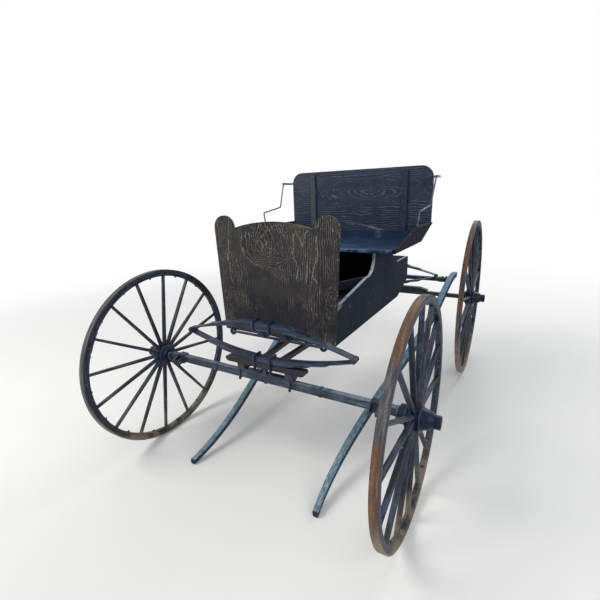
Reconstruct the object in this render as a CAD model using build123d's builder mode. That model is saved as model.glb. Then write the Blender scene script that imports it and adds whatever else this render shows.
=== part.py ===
"""Light four-wheeled horse-drawn driving wagon with a plank body on two elliptic springs.

Millimetres, +Z up. The wagon's front faces -Y and its left side is +X. The origin is on the
ground, midway between the foremost and rearmost points of the wheels.
"""
from build123d import *
from math import asin, cos, degrees, radians, sin, sqrt
import os

os.makedirs("parts", exist_ok=True)

# Driving dimensions of the running gear
wheelbase = 1665.0
track = 1420.0
front_wheel_radius = 483.0
rear_wheel_radius = 565.0
tyre_width = 29.0
tyre_thickness = 7.0
felloe_width = 30.0
felloe_depth = 28.0
spoke_count = 16
spoke_foot = (26.0, 18.0)
spoke_taper = 0.35
spoke_bury = 4.0
felloe_chamfer = 6.0

front_axle_y = -(wheelbase + rear_wheel_radius - front_wheel_radius) / 2
rear_axle_y = front_axle_y + wheelbase

# Hubs and axle ends, as distances outwards from the wheel plane
axle_bar = 28.0
spindle_radius = 14.0
running_clearance = 0.05
hub_inner_end = -55.0
hub_outer_end = 100.0
hub_barrel_radius = 38.0
hub_waist_radius = 52.0
hub_waist_half = 20.0
hub_shoulder_half = 26.0
hub_shoulder_step = 6.0
hub_root_end = 58.0
hub_nose_radius = 25.0
hub_band = 2.5
hub_inner_band_width = 12.0
hub_nose_band_lead = 6.0
nut_recess_radius = 20.0
nut_recess_depth = 16.0
nut_radius = 16.0
nut_proud = 2.0
collar_radius = 30.0
collar_thickness = 8.0
collar_gap = 5.0

# Elliptic springs, both of one size
spring_half_span = 457.0
spring_rise = 72.0
spring_width = 38.0
leaf_thickness = 7.0
leaf_half_lengths = (457.0, 352.0, 262.0, 172.0)
leaf_tip_taper = 26.0
eye_radius = 13.0
eye_bolt_radius = 6.0
eye_cut = 2.0
eye_nut_inset = 2.0
eye_nut_height = 6.0
eye_parting = 3.0
eye_knuckle_half = 7.0
eye_side_gap = 1.0
clip_offset = 45.0
clip_bar = 8.0
clip_clearance = 0.1
spring_pack = spring_rise + leaf_thickness * len(leaf_half_lengths)

# Turning gear at the front axle
front_bar_drop = 12.0
front_bar_height = 36.0
plate_thickness = 5.0
plate_gap = 0.3
ring_outer_radius = 160.0
ring_inner_radius = 130.0
plate_bar_width = 30.0
plate_bar_end_gap = 2.0
bolster_height = 30.0
bolster_length = 40.0
axle_clip_offset = 145.0
head_block_height = 26.0
head_block_width = 44.0
head_block_half_length = 225.0
head_block_end_rise = 8.0
head_block_end_run = 16.0
head_block_round = 9.0
king_bolt_radius = 6.0
king_boss_radius = 13.0
king_head_radius = 11.0
king_nut_height = 8.0

front_axle_z = front_wheel_radius
rear_axle_z = rear_wheel_radius
front_bar_bottom = front_axle_z - front_bar_drop
front_bar_z = front_bar_bottom + front_bar_height / 2
front_bar_top = front_bar_bottom + front_bar_height
upper_plate_bottom = front_bar_top + plate_thickness + plate_gap
upper_plate_top = upper_plate_bottom + plate_thickness
head_block_bottom = upper_plate_top + bolster_height
head_block_top = head_block_bottom + head_block_height
front_eye_z = head_block_top + spring_pack

rear_bed_height = 30.0
rear_bed_width = 44.0
rear_bed_half_length = 400.0
rear_bed_end_slope = 60.0
rear_bed_top = rear_axle_z + axle_bar / 2 + rear_bed_height
rear_eye_z = rear_bed_top + spring_pack

# Body of plywood panels, set back from the front axle
body_bottom = 664.0
body_half_width = 318.0
panel = 18.0
floor_thickness = 16.0
dash_setback = 105.0
dash_thickness = 15.0
body_end = 1335.0
tail_rise_start = 1107.0
tail_rise = 81.0
sill_height_front = 840.0
sill_height_rear = 908.0
sill_curve_start = 520.0
riser_front = 640.0
riser_curve_top = 990.0
riser_curve_bow = (28.0, 12.0)
riser_top_rear = 850.0
deck_front = 1078.0
deck_top = 905.0
floor_mitre = 4.0
box_back_lip = (14.0, 8.0)

# Heel board under the seat, fallen at its right end
heel_board_run = 610.0
heel_board_thickness = 20.0
heel_board_height = 50.0
heel_board_rise = 172.0
heel_board_wear = (14.0, 5.0)
heel_board_swell = 4.0

dash_front_y = front_axle_y + dash_setback
dash_back_y = dash_front_y + dash_thickness
body_end_y = front_axle_y + body_end

# Dash panel, wider at the top, with a rounded ear at each upper corner
dash_half_bottom = 318.0
dash_half_top = 342.0
dash_top_corner = 1192.0
ear_radius = 60.0
dash_arch_top = 1224.0

# Seat
seat_top = 1050.0
seat_thickness = 20.0
seat_front = 560.0
seat_front_round = 6.0
seat_back_front = 1147.0
seat_end_foot = 430.0
seat_flare = 67.0
seat_end_height = 108.0
seat_end_thickness = 14.0
seat_end_shoulder = 740.0
seat_end_shoulder_drop = 14.0
seat_end_ease = 40.0
seat_end_ease_drop = 2.0
seat_end_lip = 8.0
back_half_width = 498.0
back_top = 1495.0
back_corner_radius = 75.0
batten_offset = 327.0
batten_width = 36.0
batten_thickness = 14.0
batten_top_gap = 20.0
back_rail_half = 410.0
back_rail_height = 52.0
rail_radius = 4.5
rail_bend = 12.0
rail_foot_run = 778.0
rail_run = 220.0
rail_rise = 76.0
rail_bend_rise = 104.0
rail_knee_out = 10.0
rail_bend_out = 19.0
bracket_drop = 77.0
bracket_reach = 38.0
bracket_arm_length = 87.0
bracket_arm_width = 12.0
bracket_thickness = 12.0

# Irons that hang the body from the springs
iron_thickness = 8.0
iron_width = 34.0
iron_gap = 3.0
iron_offset = clip_offset + clip_bar / 2 + iron_gap + iron_width / 2
iron_bend = 14.0
iron_reach = 520.0
iron_seat_gap = 0.1
tail_iron_stop = 40.0
cross_rod_radius = 7.0
ring_eye_offset = 265.0
ring_eye_outer = 19.0
ring_eye_inner = 6.5
ring_eye_thickness = 10.0

# Shafts, put away under the wagon with their tips on the ground in front
heel_iron_length = 38.0
heel_iron_width = 25.0
shaft_eye_radius = 15.0
coupling_bolt_radius = 5.5
coupling_offset = 555.0
coupling_reach = 48.0
coupling_eye_radius = 14.0
coupling_ear = 8.0
coupling_wrap = 6.0
coupling_gap = 27.0
shaft_tip_reach = 190.0
shaft_heel_reach = 320.0
shaft_width = 42.0
shaft_depth = 52.0
shaft_round = 8.0
shaft_rest_gap = 5.0
crossbar_thickness = 34.0
crossbar_setback = 195.0
crossbar_end_gap = 2.4


def finish(part, name):
    """Label a finished piece and write it to its own file."""
    part.label = name
    export_step(part, f"parts/{name}.step")


def along_y(x):
    """Plane across X at x: local x runs towards +Y and local y runs up."""
    return Plane(origin=(x, 0, 0), x_dir=(0, 1, 0), z_dir=(1, 0, 0))


def facing_front(y):
    """Plane facing -Y at y: local x runs towards +X and local y runs up."""
    return Plane(origin=(0, y, 0), x_dir=(1, 0, 0), z_dir=(0, -1, 0))


# Wheels
def make_hub(name, plane, axis):
    """Turned hub with a waist for the spokes, iron bands and a recess for the axle nut."""
    bore = spindle_radius + running_clearance
    recess_start = hub_outer_end - nut_recess_depth
    inner_band_end = hub_inner_end + hub_inner_band_width
    nose_band_start = recess_start - hub_nose_band_lead
    with BuildPart() as hub:
        with BuildSketch(plane):
            with BuildLine():
                Polyline(
                    (hub_inner_end, bore),
                    (hub_inner_end, hub_barrel_radius + hub_band),
                    (inner_band_end, hub_barrel_radius + hub_band),
                    (inner_band_end, hub_barrel_radius),
                    (-hub_shoulder_half, hub_waist_radius - hub_shoulder_step),
                    (-hub_waist_half, hub_waist_radius),
                    (hub_waist_half, hub_waist_radius),
                    (hub_shoulder_half, hub_waist_radius - hub_shoulder_step),
                    (hub_root_end, hub_barrel_radius),
                    (nose_band_start, hub_nose_radius),
                    (nose_band_start, hub_nose_radius + hub_band),
                    (hub_outer_end, hub_nose_radius + hub_band),
                    (hub_outer_end, nut_recess_radius),
                    (recess_start, nut_recess_radius),
                    (recess_start, bore),
                    close=True,
                )
            make_face()
        revolve(axis=axis)
    finish(hub.part, name)


def make_wheel(prefix, side, axle_y, radius, spoke_turn):
    """One wheel: hub, spokes, wooden rim and iron tyre, stopped with a spoke at spoke_turn."""
    centre = (side * track / 2, axle_y, radius)
    radial_plane = Plane(origin=centre, x_dir=(side, 0, 0), z_dir=(0, -side, 0))
    wheel_axis = Axis(centre, (1, 0, 0))
    rim_outer = radius - tyre_thickness
    rim_inner = rim_outer - felloe_depth
    make_hub(f"{prefix}_hub", radial_plane, wheel_axis)

    with BuildPart() as spoke:
        with BuildSketch(Plane.XY.offset(hub_waist_radius - spoke_bury)):
            SlotOverall(*spoke_foot)
        extrude(amount=rim_inner - hub_waist_radius + 2 * spoke_bury, taper=spoke_taper)
        with BuildSketch(Plane.YZ):
            Circle(rim_inner)
            Circle(hub_waist_radius, mode=Mode.SUBTRACT)
        extrude(amount=felloe_width, both=True, mode=Mode.INTERSECT)
    spoke_planes = []
    for index in range(spoke_count):
        angle = radians(spoke_turn + 360 / spoke_count * index)
        spoke_planes.append(Plane(origin=centre, x_dir=(1, 0, 0), z_dir=(0, sin(angle), cos(angle))))
    with BuildPart() as spokes:
        with Locations(*spoke_planes):
            add(spoke.part)
    finish(spokes.part, f"{prefix}_spokes")

    half = felloe_width / 2
    with BuildPart() as felloe:
        with BuildSketch(radial_plane):
            with BuildLine():
                Polyline(
                    (-half + felloe_chamfer, rim_inner),
                    (half - felloe_chamfer, rim_inner),
                    (half, rim_inner + felloe_chamfer),
                    (half, rim_outer),
                    (-half, rim_outer),
                    (-half, rim_inner + felloe_chamfer),
                    close=True,
                )
            make_face()
        revolve(axis=wheel_axis)
    finish(felloe.part, f"{prefix}_felloe")

    with BuildPart() as tyre:
        with BuildSketch(Plane(origin=centre, z_dir=(1, 0, 0)).offset(-tyre_width / 2)):
            Circle(radius)
            Circle(rim_outer, mode=Mode.SUBTRACT)
        extrude(amount=tyre_width)
    finish(tyre.part, f"{prefix}_tyre")


for wheel_prefix, wheel_side, wheel_axle_y, wheel_radius, wheel_turn in (
    ("front_left", 1, front_axle_y, front_wheel_radius, 4.0),
    ("front_right", -1, front_axle_y, front_wheel_radius, 7.4),
    ("rear_left", 1, rear_axle_y, rear_wheel_radius, 11.25),
    ("rear_right", -1, rear_axle_y, rear_wheel_radius, 11.25),
):
    make_wheel(wheel_prefix, wheel_side, wheel_axle_y, wheel_radius, wheel_turn)


# Axles
def axle_bar_with_ends(axle_y, axle_z, bar_z, bar_height):
    """Straight bar with a collar, a round spindle and a nut at each end."""
    collar_outer = track / 2 + hub_inner_end - collar_gap
    collar_inner = collar_outer - collar_thickness
    nut_inner = track / 2 + hub_outer_end - nut_recess_depth + collar_gap
    nut_outer = track / 2 + hub_outer_end + nut_proud
    with BuildPart() as axle:
        with BuildSketch(along_y(-collar_inner)):
            with Locations((axle_y, bar_z)):
                Rectangle(axle_bar, bar_height)
        extrude(amount=2 * collar_inner)
        for side in (-1, 1):
            outwards = (side, 0, 0)
            for start, end, size in (
                (collar_inner, collar_outer, collar_radius),
                (collar_outer, nut_outer, spindle_radius),
            ):
                with BuildSketch(Plane(origin=(side * start, axle_y, axle_z), z_dir=outwards)):
                    Circle(size)
                extrude(amount=end - start)
            with BuildSketch(Plane(origin=(side * nut_inner, axle_y, axle_z), z_dir=outwards)):
                RegularPolygon(nut_radius, 6)
            extrude(amount=nut_outer - nut_inner)
    return axle.part


with BuildPart() as front_axle:
    add(axle_bar_with_ends(front_axle_y, front_axle_z, front_bar_z, front_bar_height))
    with BuildSketch(Plane(origin=(0, front_axle_y, front_bar_bottom))):
        Circle(king_bolt_radius + running_clearance)
    extrude(amount=front_bar_height, mode=Mode.SUBTRACT)
finish(front_axle.part, "front_axle")

finish(axle_bar_with_ends(rear_axle_y, rear_axle_z, rear_axle_z, axle_bar), "rear_axle")

with BuildPart() as rear_bed:
    with BuildSketch(facing_front(rear_axle_y + rear_bed_width / 2)):
        with BuildLine():
            Polyline(
                (-rear_bed_half_length, rear_axle_z + axle_bar / 2),
                (rear_bed_half_length, rear_axle_z + axle_bar / 2),
                (rear_bed_half_length, rear_bed_top - rear_bed_height / 2),
                (rear_bed_half_length - rear_bed_end_slope, rear_bed_top),
                (-rear_bed_half_length + rear_bed_end_slope, rear_bed_top),
                (-rear_bed_half_length, rear_bed_top - rear_bed_height / 2),
                close=True,
            )
        make_face()
    extrude(amount=rear_bed_width)
finish(rear_bed.part, "rear_axle_bed")


# Turning gear: two plates that slide on each other round the king bolt
def turning_plate_outline(bottom, bore):
    """Straight bar on the axle line with a half ring behind it."""
    with BuildSketch(Plane(origin=(0, front_axle_y, bottom))) as outline:
        Circle(ring_outer_radius)
        Circle(ring_inner_radius, mode=Mode.SUBTRACT)
        with Locations((0, -ring_outer_radius / 2 - plate_bar_width / 2)):
            Rectangle(3 * ring_outer_radius, ring_outer_radius, mode=Mode.SUBTRACT)
        Rectangle(2 * (ring_outer_radius - plate_bar_end_gap), plate_bar_width)
        Circle(bore, mode=Mode.SUBTRACT)
    return outline.sketch


with BuildPart() as lower_plate:
    extrude(turning_plate_outline(front_bar_top, king_bolt_radius + running_clearance), plate_thickness)
    for side in (-1, 1):
        with BuildSketch(along_y(side * axle_clip_offset - clip_bar / 2)):
            with Locations((front_axle_y, front_bar_z)):
                Rectangle(axle_bar + 2 * clip_bar, front_bar_height + 2 * plate_thickness)
                Rectangle(axle_bar, front_bar_height, mode=Mode.SUBTRACT)
        extrude(amount=clip_bar)
finish(lower_plate.part, "turning_plate_lower")

# The upper plate carries the head block on a boss and two bolsters, with daylight between them
bolster_middle = ring_outer_radius - plate_bar_end_gap - bolster_length / 2
with BuildPart() as upper_plate:
    extrude(turning_plate_outline(upper_plate_bottom, king_bolt_radius + running_clearance), plate_thickness)
    with BuildSketch(Plane(origin=(0, front_axle_y, upper_plate_top))):
        Circle(king_boss_radius)
        Circle(king_bolt_radius + running_clearance, mode=Mode.SUBTRACT)
        for side in (-1, 1):
            with Locations((side * bolster_middle, 0)):
                Rectangle(bolster_length, plate_bar_width)
    extrude(amount=bolster_height)
finish(upper_plate.part, "turning_plate_upper")

with BuildPart() as head_block:
    with BuildSketch(facing_front(front_axle_y + head_block_width / 2)):
        with BuildLine():
            Polyline(
                (-head_block_half_length + head_block_end_run, head_block_bottom),
                (head_block_half_length - head_block_end_run, head_block_bottom),
                (head_block_half_length, head_block_bottom + head_block_end_rise),
                (head_block_half_length, head_block_top),
                (-head_block_half_length, head_block_top),
                (-head_block_half_length, head_block_bottom + head_block_end_rise),
                close=True,
            )
        make_face()
    extrude(amount=head_block_width)
    fillet(head_block.edges().filter_by(Axis.Y), head_block_round)
    with BuildSketch(Plane(origin=(0, front_axle_y, head_block_bottom))):
        Circle(king_bolt_radius + running_clearance)
    extrude(amount=head_block_height, mode=Mode.SUBTRACT)
finish(head_block.part, "head_block")

with BuildPart() as king_bolt:
    with BuildSketch(Plane(origin=(0, front_axle_y, front_bar_bottom - plate_gap - king_nut_height))):
        RegularPolygon(king_head_radius, 6)
    extrude(amount=king_nut_height)
    with BuildSketch(Plane(origin=(0, front_axle_y, front_bar_bottom - plate_gap))):
        Circle(king_bolt_radius)
    extrude(amount=head_block_top - front_bar_bottom + plate_gap)
finish(king_bolt.part, "king_bolt")


# Shaft couplings: two ears with a cross bolt hole on the front of the axle, each side
with BuildPart() as couplings:
    axle_front_y = front_axle_y - axle_bar / 2
    coupling_eye_y = axle_front_y - coupling_reach + coupling_eye_radius
    for side in (-1, 1):
        for ear_side in (-1, 1):
            ear_x = side * coupling_offset + ear_side * (coupling_gap + coupling_ear) / 2
            with BuildSketch(along_y(ear_x - coupling_ear / 2)):
                with BuildLine():
                    Polyline(
                        (axle_front_y, front_bar_bottom),
                        (axle_front_y, front_bar_top),
                        (coupling_eye_y, front_axle_z + coupling_eye_radius),
                        (coupling_eye_y, front_axle_z - coupling_eye_radius),
                        close=True,
                    )
                make_face()
                with Locations((coupling_eye_y, front_axle_z)):
                    Circle(coupling_eye_radius)
                    Circle(coupling_bolt_radius, mode=Mode.SUBTRACT)
            extrude(amount=coupling_ear)
        wrap_half = (coupling_gap + 2 * coupling_ear) / 2
        with BuildSketch(along_y(side * coupling_offset - wrap_half)):
            with Locations((front_axle_y, front_bar_z)):
                Rectangle(axle_bar + 2 * coupling_wrap, front_bar_height + 2 * coupling_wrap)
                Rectangle(axle_bar, front_bar_height, mode=Mode.SUBTRACT)
        extrude(amount=2 * wrap_half)
finish(couplings.part, "shaft_couplings")


# Springs
def leaf_outline(index, flip):
    """One curved leaf of the pack about the eye height; the shorter ones taper to their tips."""
    rise = spring_rise - eye_parting
    inner = (spring_half_span**2 + rise**2) / (2 * rise)
    centre_y = flip * (spring_rise - inner)
    low = inner + index * leaf_thickness
    high = low + leaf_thickness
    taper = leaf_tip_taper if index else 0.0
    reach = degrees(asin(leaf_half_lengths[index] / inner))
    outer_reach = degrees(asin((leaf_half_lengths[index] - taper) / inner))
    middle = 90 * flip
    with BuildSketch() as leaf:
        with BuildLine():
            inner_arc = CenterArc((0, centre_y), low, middle - reach, 2 * reach)
            outer_arc = CenterArc((0, centre_y), high, middle - outer_reach, 2 * outer_reach)
            Line(inner_arc @ 0, outer_arc @ 0)
            Line(inner_arc @ 1, outer_arc @ 1)
        make_face()
    return leaf.sketch


def make_half_spring(name, spring_y, eye_z, flip):
    """Upper (flip 1) or lower (flip -1) pack of stepped leaves with rolled eyes."""
    half = spring_width / 2
    spring_plane = Plane(origin=(0, spring_y + half, eye_z), x_dir=(1, 0, 0), z_dir=(0, -1, 0))
    with BuildPart() as pack:
        with BuildSketch(spring_plane):
            for index in range(len(leaf_half_lengths)):
                add(leaf_outline(index, flip))
        extrude(amount=spring_width)
        knuckle_inner = eye_knuckle_half + eye_side_gap
        for side in (-1, 1):
            eye = Plane(origin=(side * spring_half_span, spring_y, eye_z), z_dir=(0, 1, 0))
            if flip > 0:
                with BuildSketch(eye):
                    Circle(eye_radius)
                extrude(amount=half, both=True)
                with BuildSketch(eye):
                    Circle(eye_radius + eye_cut)
                extrude(amount=knuckle_inner, both=True, mode=Mode.SUBTRACT)
                with BuildSketch(eye):
                    Circle(eye_bolt_radius)
                extrude(amount=half, both=True, mode=Mode.SUBTRACT)
            else:
                for end in (-1, 1):
                    with BuildSketch(eye.offset(end * eye_knuckle_half)):
                        Circle(eye_radius + eye_cut)
                    extrude(amount=end * half, mode=Mode.SUBTRACT)
                with BuildSketch(eye):
                    Circle(eye_radius)
                extrude(amount=eye_knuckle_half, both=True)
                with BuildSketch(eye):
                    Circle(eye_bolt_radius)
                extrude(amount=half, both=True)
                for end in (-1, 1):
                    with BuildSketch(eye.offset(end * half)):
                        RegularPolygon(eye_radius - eye_nut_inset, 6)
                    extrude(amount=end * eye_nut_height)
    finish(pack.part, name)


for spring_end, spring_y, spring_eye_z in (
    ("front", front_axle_y, front_eye_z),
    ("rear", rear_axle_y, rear_eye_z),
):
    make_half_spring(f"{spring_end}_spring_upper", spring_y, spring_eye_z, 1)
    make_half_spring(f"{spring_end}_spring_lower", spring_y, spring_eye_z, -1)


def iron_band(x, y, half_inner, low, high):
    """Closed iron band round a spring pack, clip_bar thick on every side."""
    with BuildPart() as band:
        with BuildSketch(along_y(x - clip_bar / 2)):
            with Locations((y, (low + high) / 2)):
                Rectangle(2 * half_inner + 2 * clip_bar, high - low + 2 * clip_bar)
                Rectangle(2 * half_inner, high - low, mode=Mode.SUBTRACT)
        extrude(amount=clip_bar)
    return band.part


def inner_height(x):
    """Height from the eyes to a pack's inner face, x away from the middle."""
    rise = spring_rise - eye_parting
    inner = (spring_half_span**2 + rise**2) / (2 * rise)
    return spring_rise - inner + sqrt(inner**2 - x**2)


pad_height = inner_height(iron_offset + iron_width / 2)
pad_bottom = pad_height - iron_thickness
clip_height = inner_height(clip_offset + clip_bar / 2) - clip_clearance
with BuildPart() as front_clips:
    for side in (-1, 1):
        add(
            iron_band(
                side * clip_offset,
                front_axle_y,
                spring_width / 2,
                front_eye_z + pad_bottom,
                front_eye_z + spring_pack,
            )
        )
        add(
            iron_band(
                side * clip_offset,
                front_axle_y,
                head_block_width / 2,
                head_block_bottom,
                front_eye_z - clip_height,
            )
        )
finish(front_clips.part, "front_spring_clips")

with BuildPart() as rear_clips:
    for side in (-1, 1):
        add(
            iron_band(
                side * clip_offset,
                rear_axle_y,
                spring_width / 2,
                rear_eye_z + pad_bottom,
                rear_eye_z + spring_pack,
            )
        )
        add(
            iron_band(
                side * clip_offset,
                rear_axle_y,
                rear_bed_width / 2,
                rear_axle_z - axle_bar / 2,
                rear_eye_z - clip_height,
            )
        )
finish(rear_clips.part, "rear_spring_clips")


# Reaches: two bars from the head block back to the rear axle, spreading as they go
reach_front_x = 48.0
reach_rear_x = 130.0
reach_size = 24.0
reach_rear_rise = 8.0
reach_front_y = front_axle_y + head_block_width / 2 + clip_bar
reach_rear_y = rear_axle_y - rear_bed_width / 2 - clip_bar
reach_front_z = head_block_bottom + head_block_height / 2
reach_rear_z = rear_axle_z + reach_rear_rise
with BuildPart() as reaches:
    for side in (-1, 1):
        start = Vector(side * reach_front_x, reach_front_y, reach_front_z)
        end = Vector(side * reach_rear_x, reach_rear_y, reach_rear_z)
        with BuildSketch(Plane(origin=start, x_dir=(1, 0, 0), z_dir=(0, 1, 0))):
            Rectangle(reach_size, reach_size)
        with BuildSketch(Plane(origin=end, x_dir=(1, 0, 0), z_dir=(0, 1, 0))):
            Rectangle(reach_size, reach_size)
        loft()
finish(reaches.part, "reaches")


# Body panels
def body_point(run, height):
    """Point of a side outline: distance behind the front axle, and height."""
    return (front_axle_y + run, height)


riser_bottom = seat_top - seat_thickness


def make_side(name, side):
    """Side panel with the low entry cut-out in front of the seat riser."""
    riser_curve_mid = (
        front_axle_y + riser_front - riser_curve_bow[0],
        (sill_height_rear + riser_curve_top) / 2 - riser_curve_bow[1],
    )
    with BuildPart() as side_panel:
        with BuildSketch(along_y(side * (body_half_width - panel / 2) - panel / 2)):
            with BuildLine():
                Polyline(
                    body_point(riser_front, riser_curve_top),
                    body_point(riser_front, riser_bottom),
                    body_point(riser_top_rear, riser_bottom),
                    body_point(deck_front, deck_top),
                    body_point(body_end, deck_top),
                    body_point(body_end, body_bottom + tail_rise),
                    body_point(tail_rise_start, body_bottom),
                    (dash_back_y, body_bottom),
                    (dash_back_y, sill_height_front),
                    body_point(sill_curve_start, sill_height_rear),
                )
                ThreePointArc(
                    body_point(sill_curve_start, sill_height_rear),
                    riser_curve_mid,
                    body_point(riser_front, riser_curve_top),
                )
            make_face()
        extrude(amount=panel)
    finish(side_panel.part, name)


make_side("side_left", 1)
make_side("side_right", -1)

inner_half = body_half_width - panel
with BuildPart() as floor_board:
    with BuildSketch(along_y(-inner_half)):
        with BuildLine():
            Polyline(
                (dash_back_y, body_bottom),
                body_point(tail_rise_start, body_bottom),
                body_point(tail_rise_start - floor_mitre, body_bottom + floor_thickness),
                (dash_back_y, body_bottom + floor_thickness),
                close=True,
            )
        make_face()
    extrude(amount=2 * inner_half)
finish(floor_board.part, "floor_board")

with BuildPart() as rear_floor:
    with BuildSketch(along_y(-inner_half)):
        with BuildLine():
            Polyline(
                body_point(tail_rise_start, body_bottom),
                body_point(body_end, body_bottom + tail_rise),
                body_point(body_end, body_bottom + tail_rise + floor_thickness),
                body_point(tail_rise_start - floor_mitre, body_bottom + floor_thickness),
                close=True,
            )
        make_face()
    extrude(amount=2 * inner_half)
finish(rear_floor.part, "rear_floor")

with BuildPart() as tailboard:
    with BuildSketch(Plane(origin=(0, body_end_y - panel / 2, body_bottom + tail_rise + floor_thickness))):
        Rectangle(2 * inner_half, panel)
    extrude(amount=deck_top - body_bottom - tail_rise - floor_thickness)
finish(tailboard.part, "tailboard")

with BuildPart() as rear_deck:
    deck_back_y = body_end_y - panel
    deck_front_y = front_axle_y + deck_front
    with BuildSketch(Plane(origin=(0, (deck_front_y + deck_back_y) / 2, deck_top - floor_thickness))):
        Rectangle(2 * inner_half, deck_back_y - deck_front_y)
    extrude(amount=floor_thickness)
finish(rear_deck.part, "rear_deck")

with BuildPart() as box_back:
    with BuildSketch(along_y(-inner_half)):
        with BuildLine():
            Polyline(
                body_point(riser_top_rear, riser_bottom),
                body_point(deck_front, deck_top),
                body_point(deck_front, deck_top - floor_thickness),
                body_point(riser_top_rear - box_back_lip[0], riser_bottom - box_back_lip[1]),
                body_point(riser_top_rear - box_back_lip[0], riser_bottom),
                close=True,
            )
        make_face()
    extrude(amount=2 * inner_half)
finish(box_back.part, "seat_box_back")

heel_board_y = front_axle_y + heel_board_run
heel_board_low = body_bottom + floor_thickness
heel_board_high = heel_board_low + heel_board_rise
with BuildPart() as heel_board:
    with BuildSketch(facing_front(heel_board_y)):
        with BuildLine():
            Polyline(
                (-inner_half, heel_board_low + heel_board_wear[1]),
                (-inner_half + heel_board_wear[0], heel_board_low),
                (inner_half, heel_board_high),
                (inner_half, heel_board_high + heel_board_height),
                (-inner_half, heel_board_low + heel_board_height + heel_board_swell),
                close=True,
            )
        make_face()
    extrude(amount=heel_board_thickness)
finish(heel_board.part, "heel_board")

with BuildPart() as dash:
    ear_x = dash_half_top - ear_radius
    with BuildSketch(facing_front(dash_back_y)):
        with BuildLine():
            Line((-dash_half_bottom, body_bottom), (dash_half_bottom, body_bottom))
            Line((dash_half_bottom, body_bottom), (dash_half_top, dash_top_corner))
            ThreePointArc(
                (dash_half_top, dash_top_corner),
                (ear_x, dash_top_corner + ear_radius),
                (ear_x - ear_radius, dash_top_corner),
            )
            ThreePointArc(
                (ear_x - ear_radius, dash_top_corner),
                (0, dash_arch_top),
                (-ear_x + ear_radius, dash_top_corner),
            )
            ThreePointArc(
                (-ear_x + ear_radius, dash_top_corner),
                (-ear_x, dash_top_corner + ear_radius),
                (-dash_half_top, dash_top_corner),
            )
            Line((-dash_half_top, dash_top_corner), (-dash_half_bottom, body_bottom))
        make_face()
    extrude(amount=dash_thickness)
finish(dash.part, "dash")


# Seat
seat_front_y = front_axle_y + seat_front
back_front_y = front_axle_y + seat_back_front
seat_rear_y = back_front_y + panel
board_rear_y = back_front_y - batten_thickness
seat_bottom = seat_top - seat_thickness
with BuildPart() as seat_board:
    with BuildSketch(Plane(origin=(0, (seat_front_y + board_rear_y) / 2, seat_bottom))):
        Rectangle(2 * seat_end_foot, board_rear_y - seat_front_y)
    extrude(amount=seat_thickness)
    fillet(seat_board.edges().filter_by(Axis.X).group_by(Axis.Y)[0], seat_front_round)
finish(seat_board.part, "seat_board")

with BuildPart() as seat_back:
    with BuildSketch(facing_front(seat_rear_y)):
        with BuildLine():
            Polyline(
                (-seat_end_foot, seat_bottom),
                (seat_end_foot, seat_bottom),
                (seat_end_foot + seat_flare, seat_top + seat_end_height),
                (back_half_width, back_top - back_corner_radius),
            )
            Polyline(
                (-seat_end_foot, seat_bottom),
                (-seat_end_foot - seat_flare, seat_top + seat_end_height),
                (-back_half_width, back_top - back_corner_radius),
            )
            for side in (-1, 1):
                ThreePointArc(
                    (side * back_half_width, back_top - back_corner_radius),
                    (
                        side * (back_half_width - back_corner_radius * (1 - sqrt(0.5))),
                        back_top - back_corner_radius * (1 - sqrt(0.5)),
                    ),
                    (side * (back_half_width - back_corner_radius), back_top),
                )
            Line(
                (-back_half_width + back_corner_radius, back_top),
                (back_half_width - back_corner_radius, back_top),
            )
        make_face()
    extrude(amount=panel)
finish(seat_back.part, "seat_back")

with BuildPart() as back_battens:
    batten_low = seat_top + back_rail_height
    batten_high = back_top - batten_top_gap
    with BuildSketch(facing_front(back_front_y)):
        for side in (-1, 1):
            with Locations((side * batten_offset, (batten_low + batten_high) / 2)):
                Rectangle(batten_width, batten_high - batten_low)
    extrude(amount=batten_thickness)
finish(back_battens.part, "back_battens")

with BuildPart() as back_rail:
    with BuildSketch(facing_front(back_front_y)):
        with Locations((0, (seat_bottom + batten_low) / 2)):
            Rectangle(2 * back_rail_half, batten_low - seat_bottom)
    extrude(amount=batten_thickness)
finish(back_rail.part, "back_rail")

end_height = seat_end_height + seat_thickness
flare_length = sqrt(seat_flare**2 + end_height**2)
end_notch = seat_thickness + seat_end_lip
shoulder_y = front_axle_y + seat_end_shoulder
for end_name, end_side in (("seat_end_left", 1), ("seat_end_right", -1)):
    end_plane = Plane(
        origin=(end_side * seat_end_foot, 0, seat_bottom),
        x_dir=(0, 1, 0),
        z_dir=Vector(end_height * end_side, 0, -seat_flare) * end_side,
    )
    with BuildPart() as seat_end:
        with BuildSketch(end_plane):
            with BuildLine():
                Polyline(
                    (seat_front_y, 0),
                    (back_front_y, 0),
                    (back_front_y, flare_length),
                    (shoulder_y + seat_end_ease, flare_length - seat_end_ease_drop),
                    (shoulder_y, flare_length - seat_end_shoulder_drop),
                    (seat_front_y, end_notch),
                    close=True,
                )
            make_face()
        extrude(amount=end_side * seat_end_thickness)
        split(bisect_by=Plane.XY.offset(seat_bottom), keep=Keep.TOP)
    finish(seat_end.part, end_name)

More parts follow.
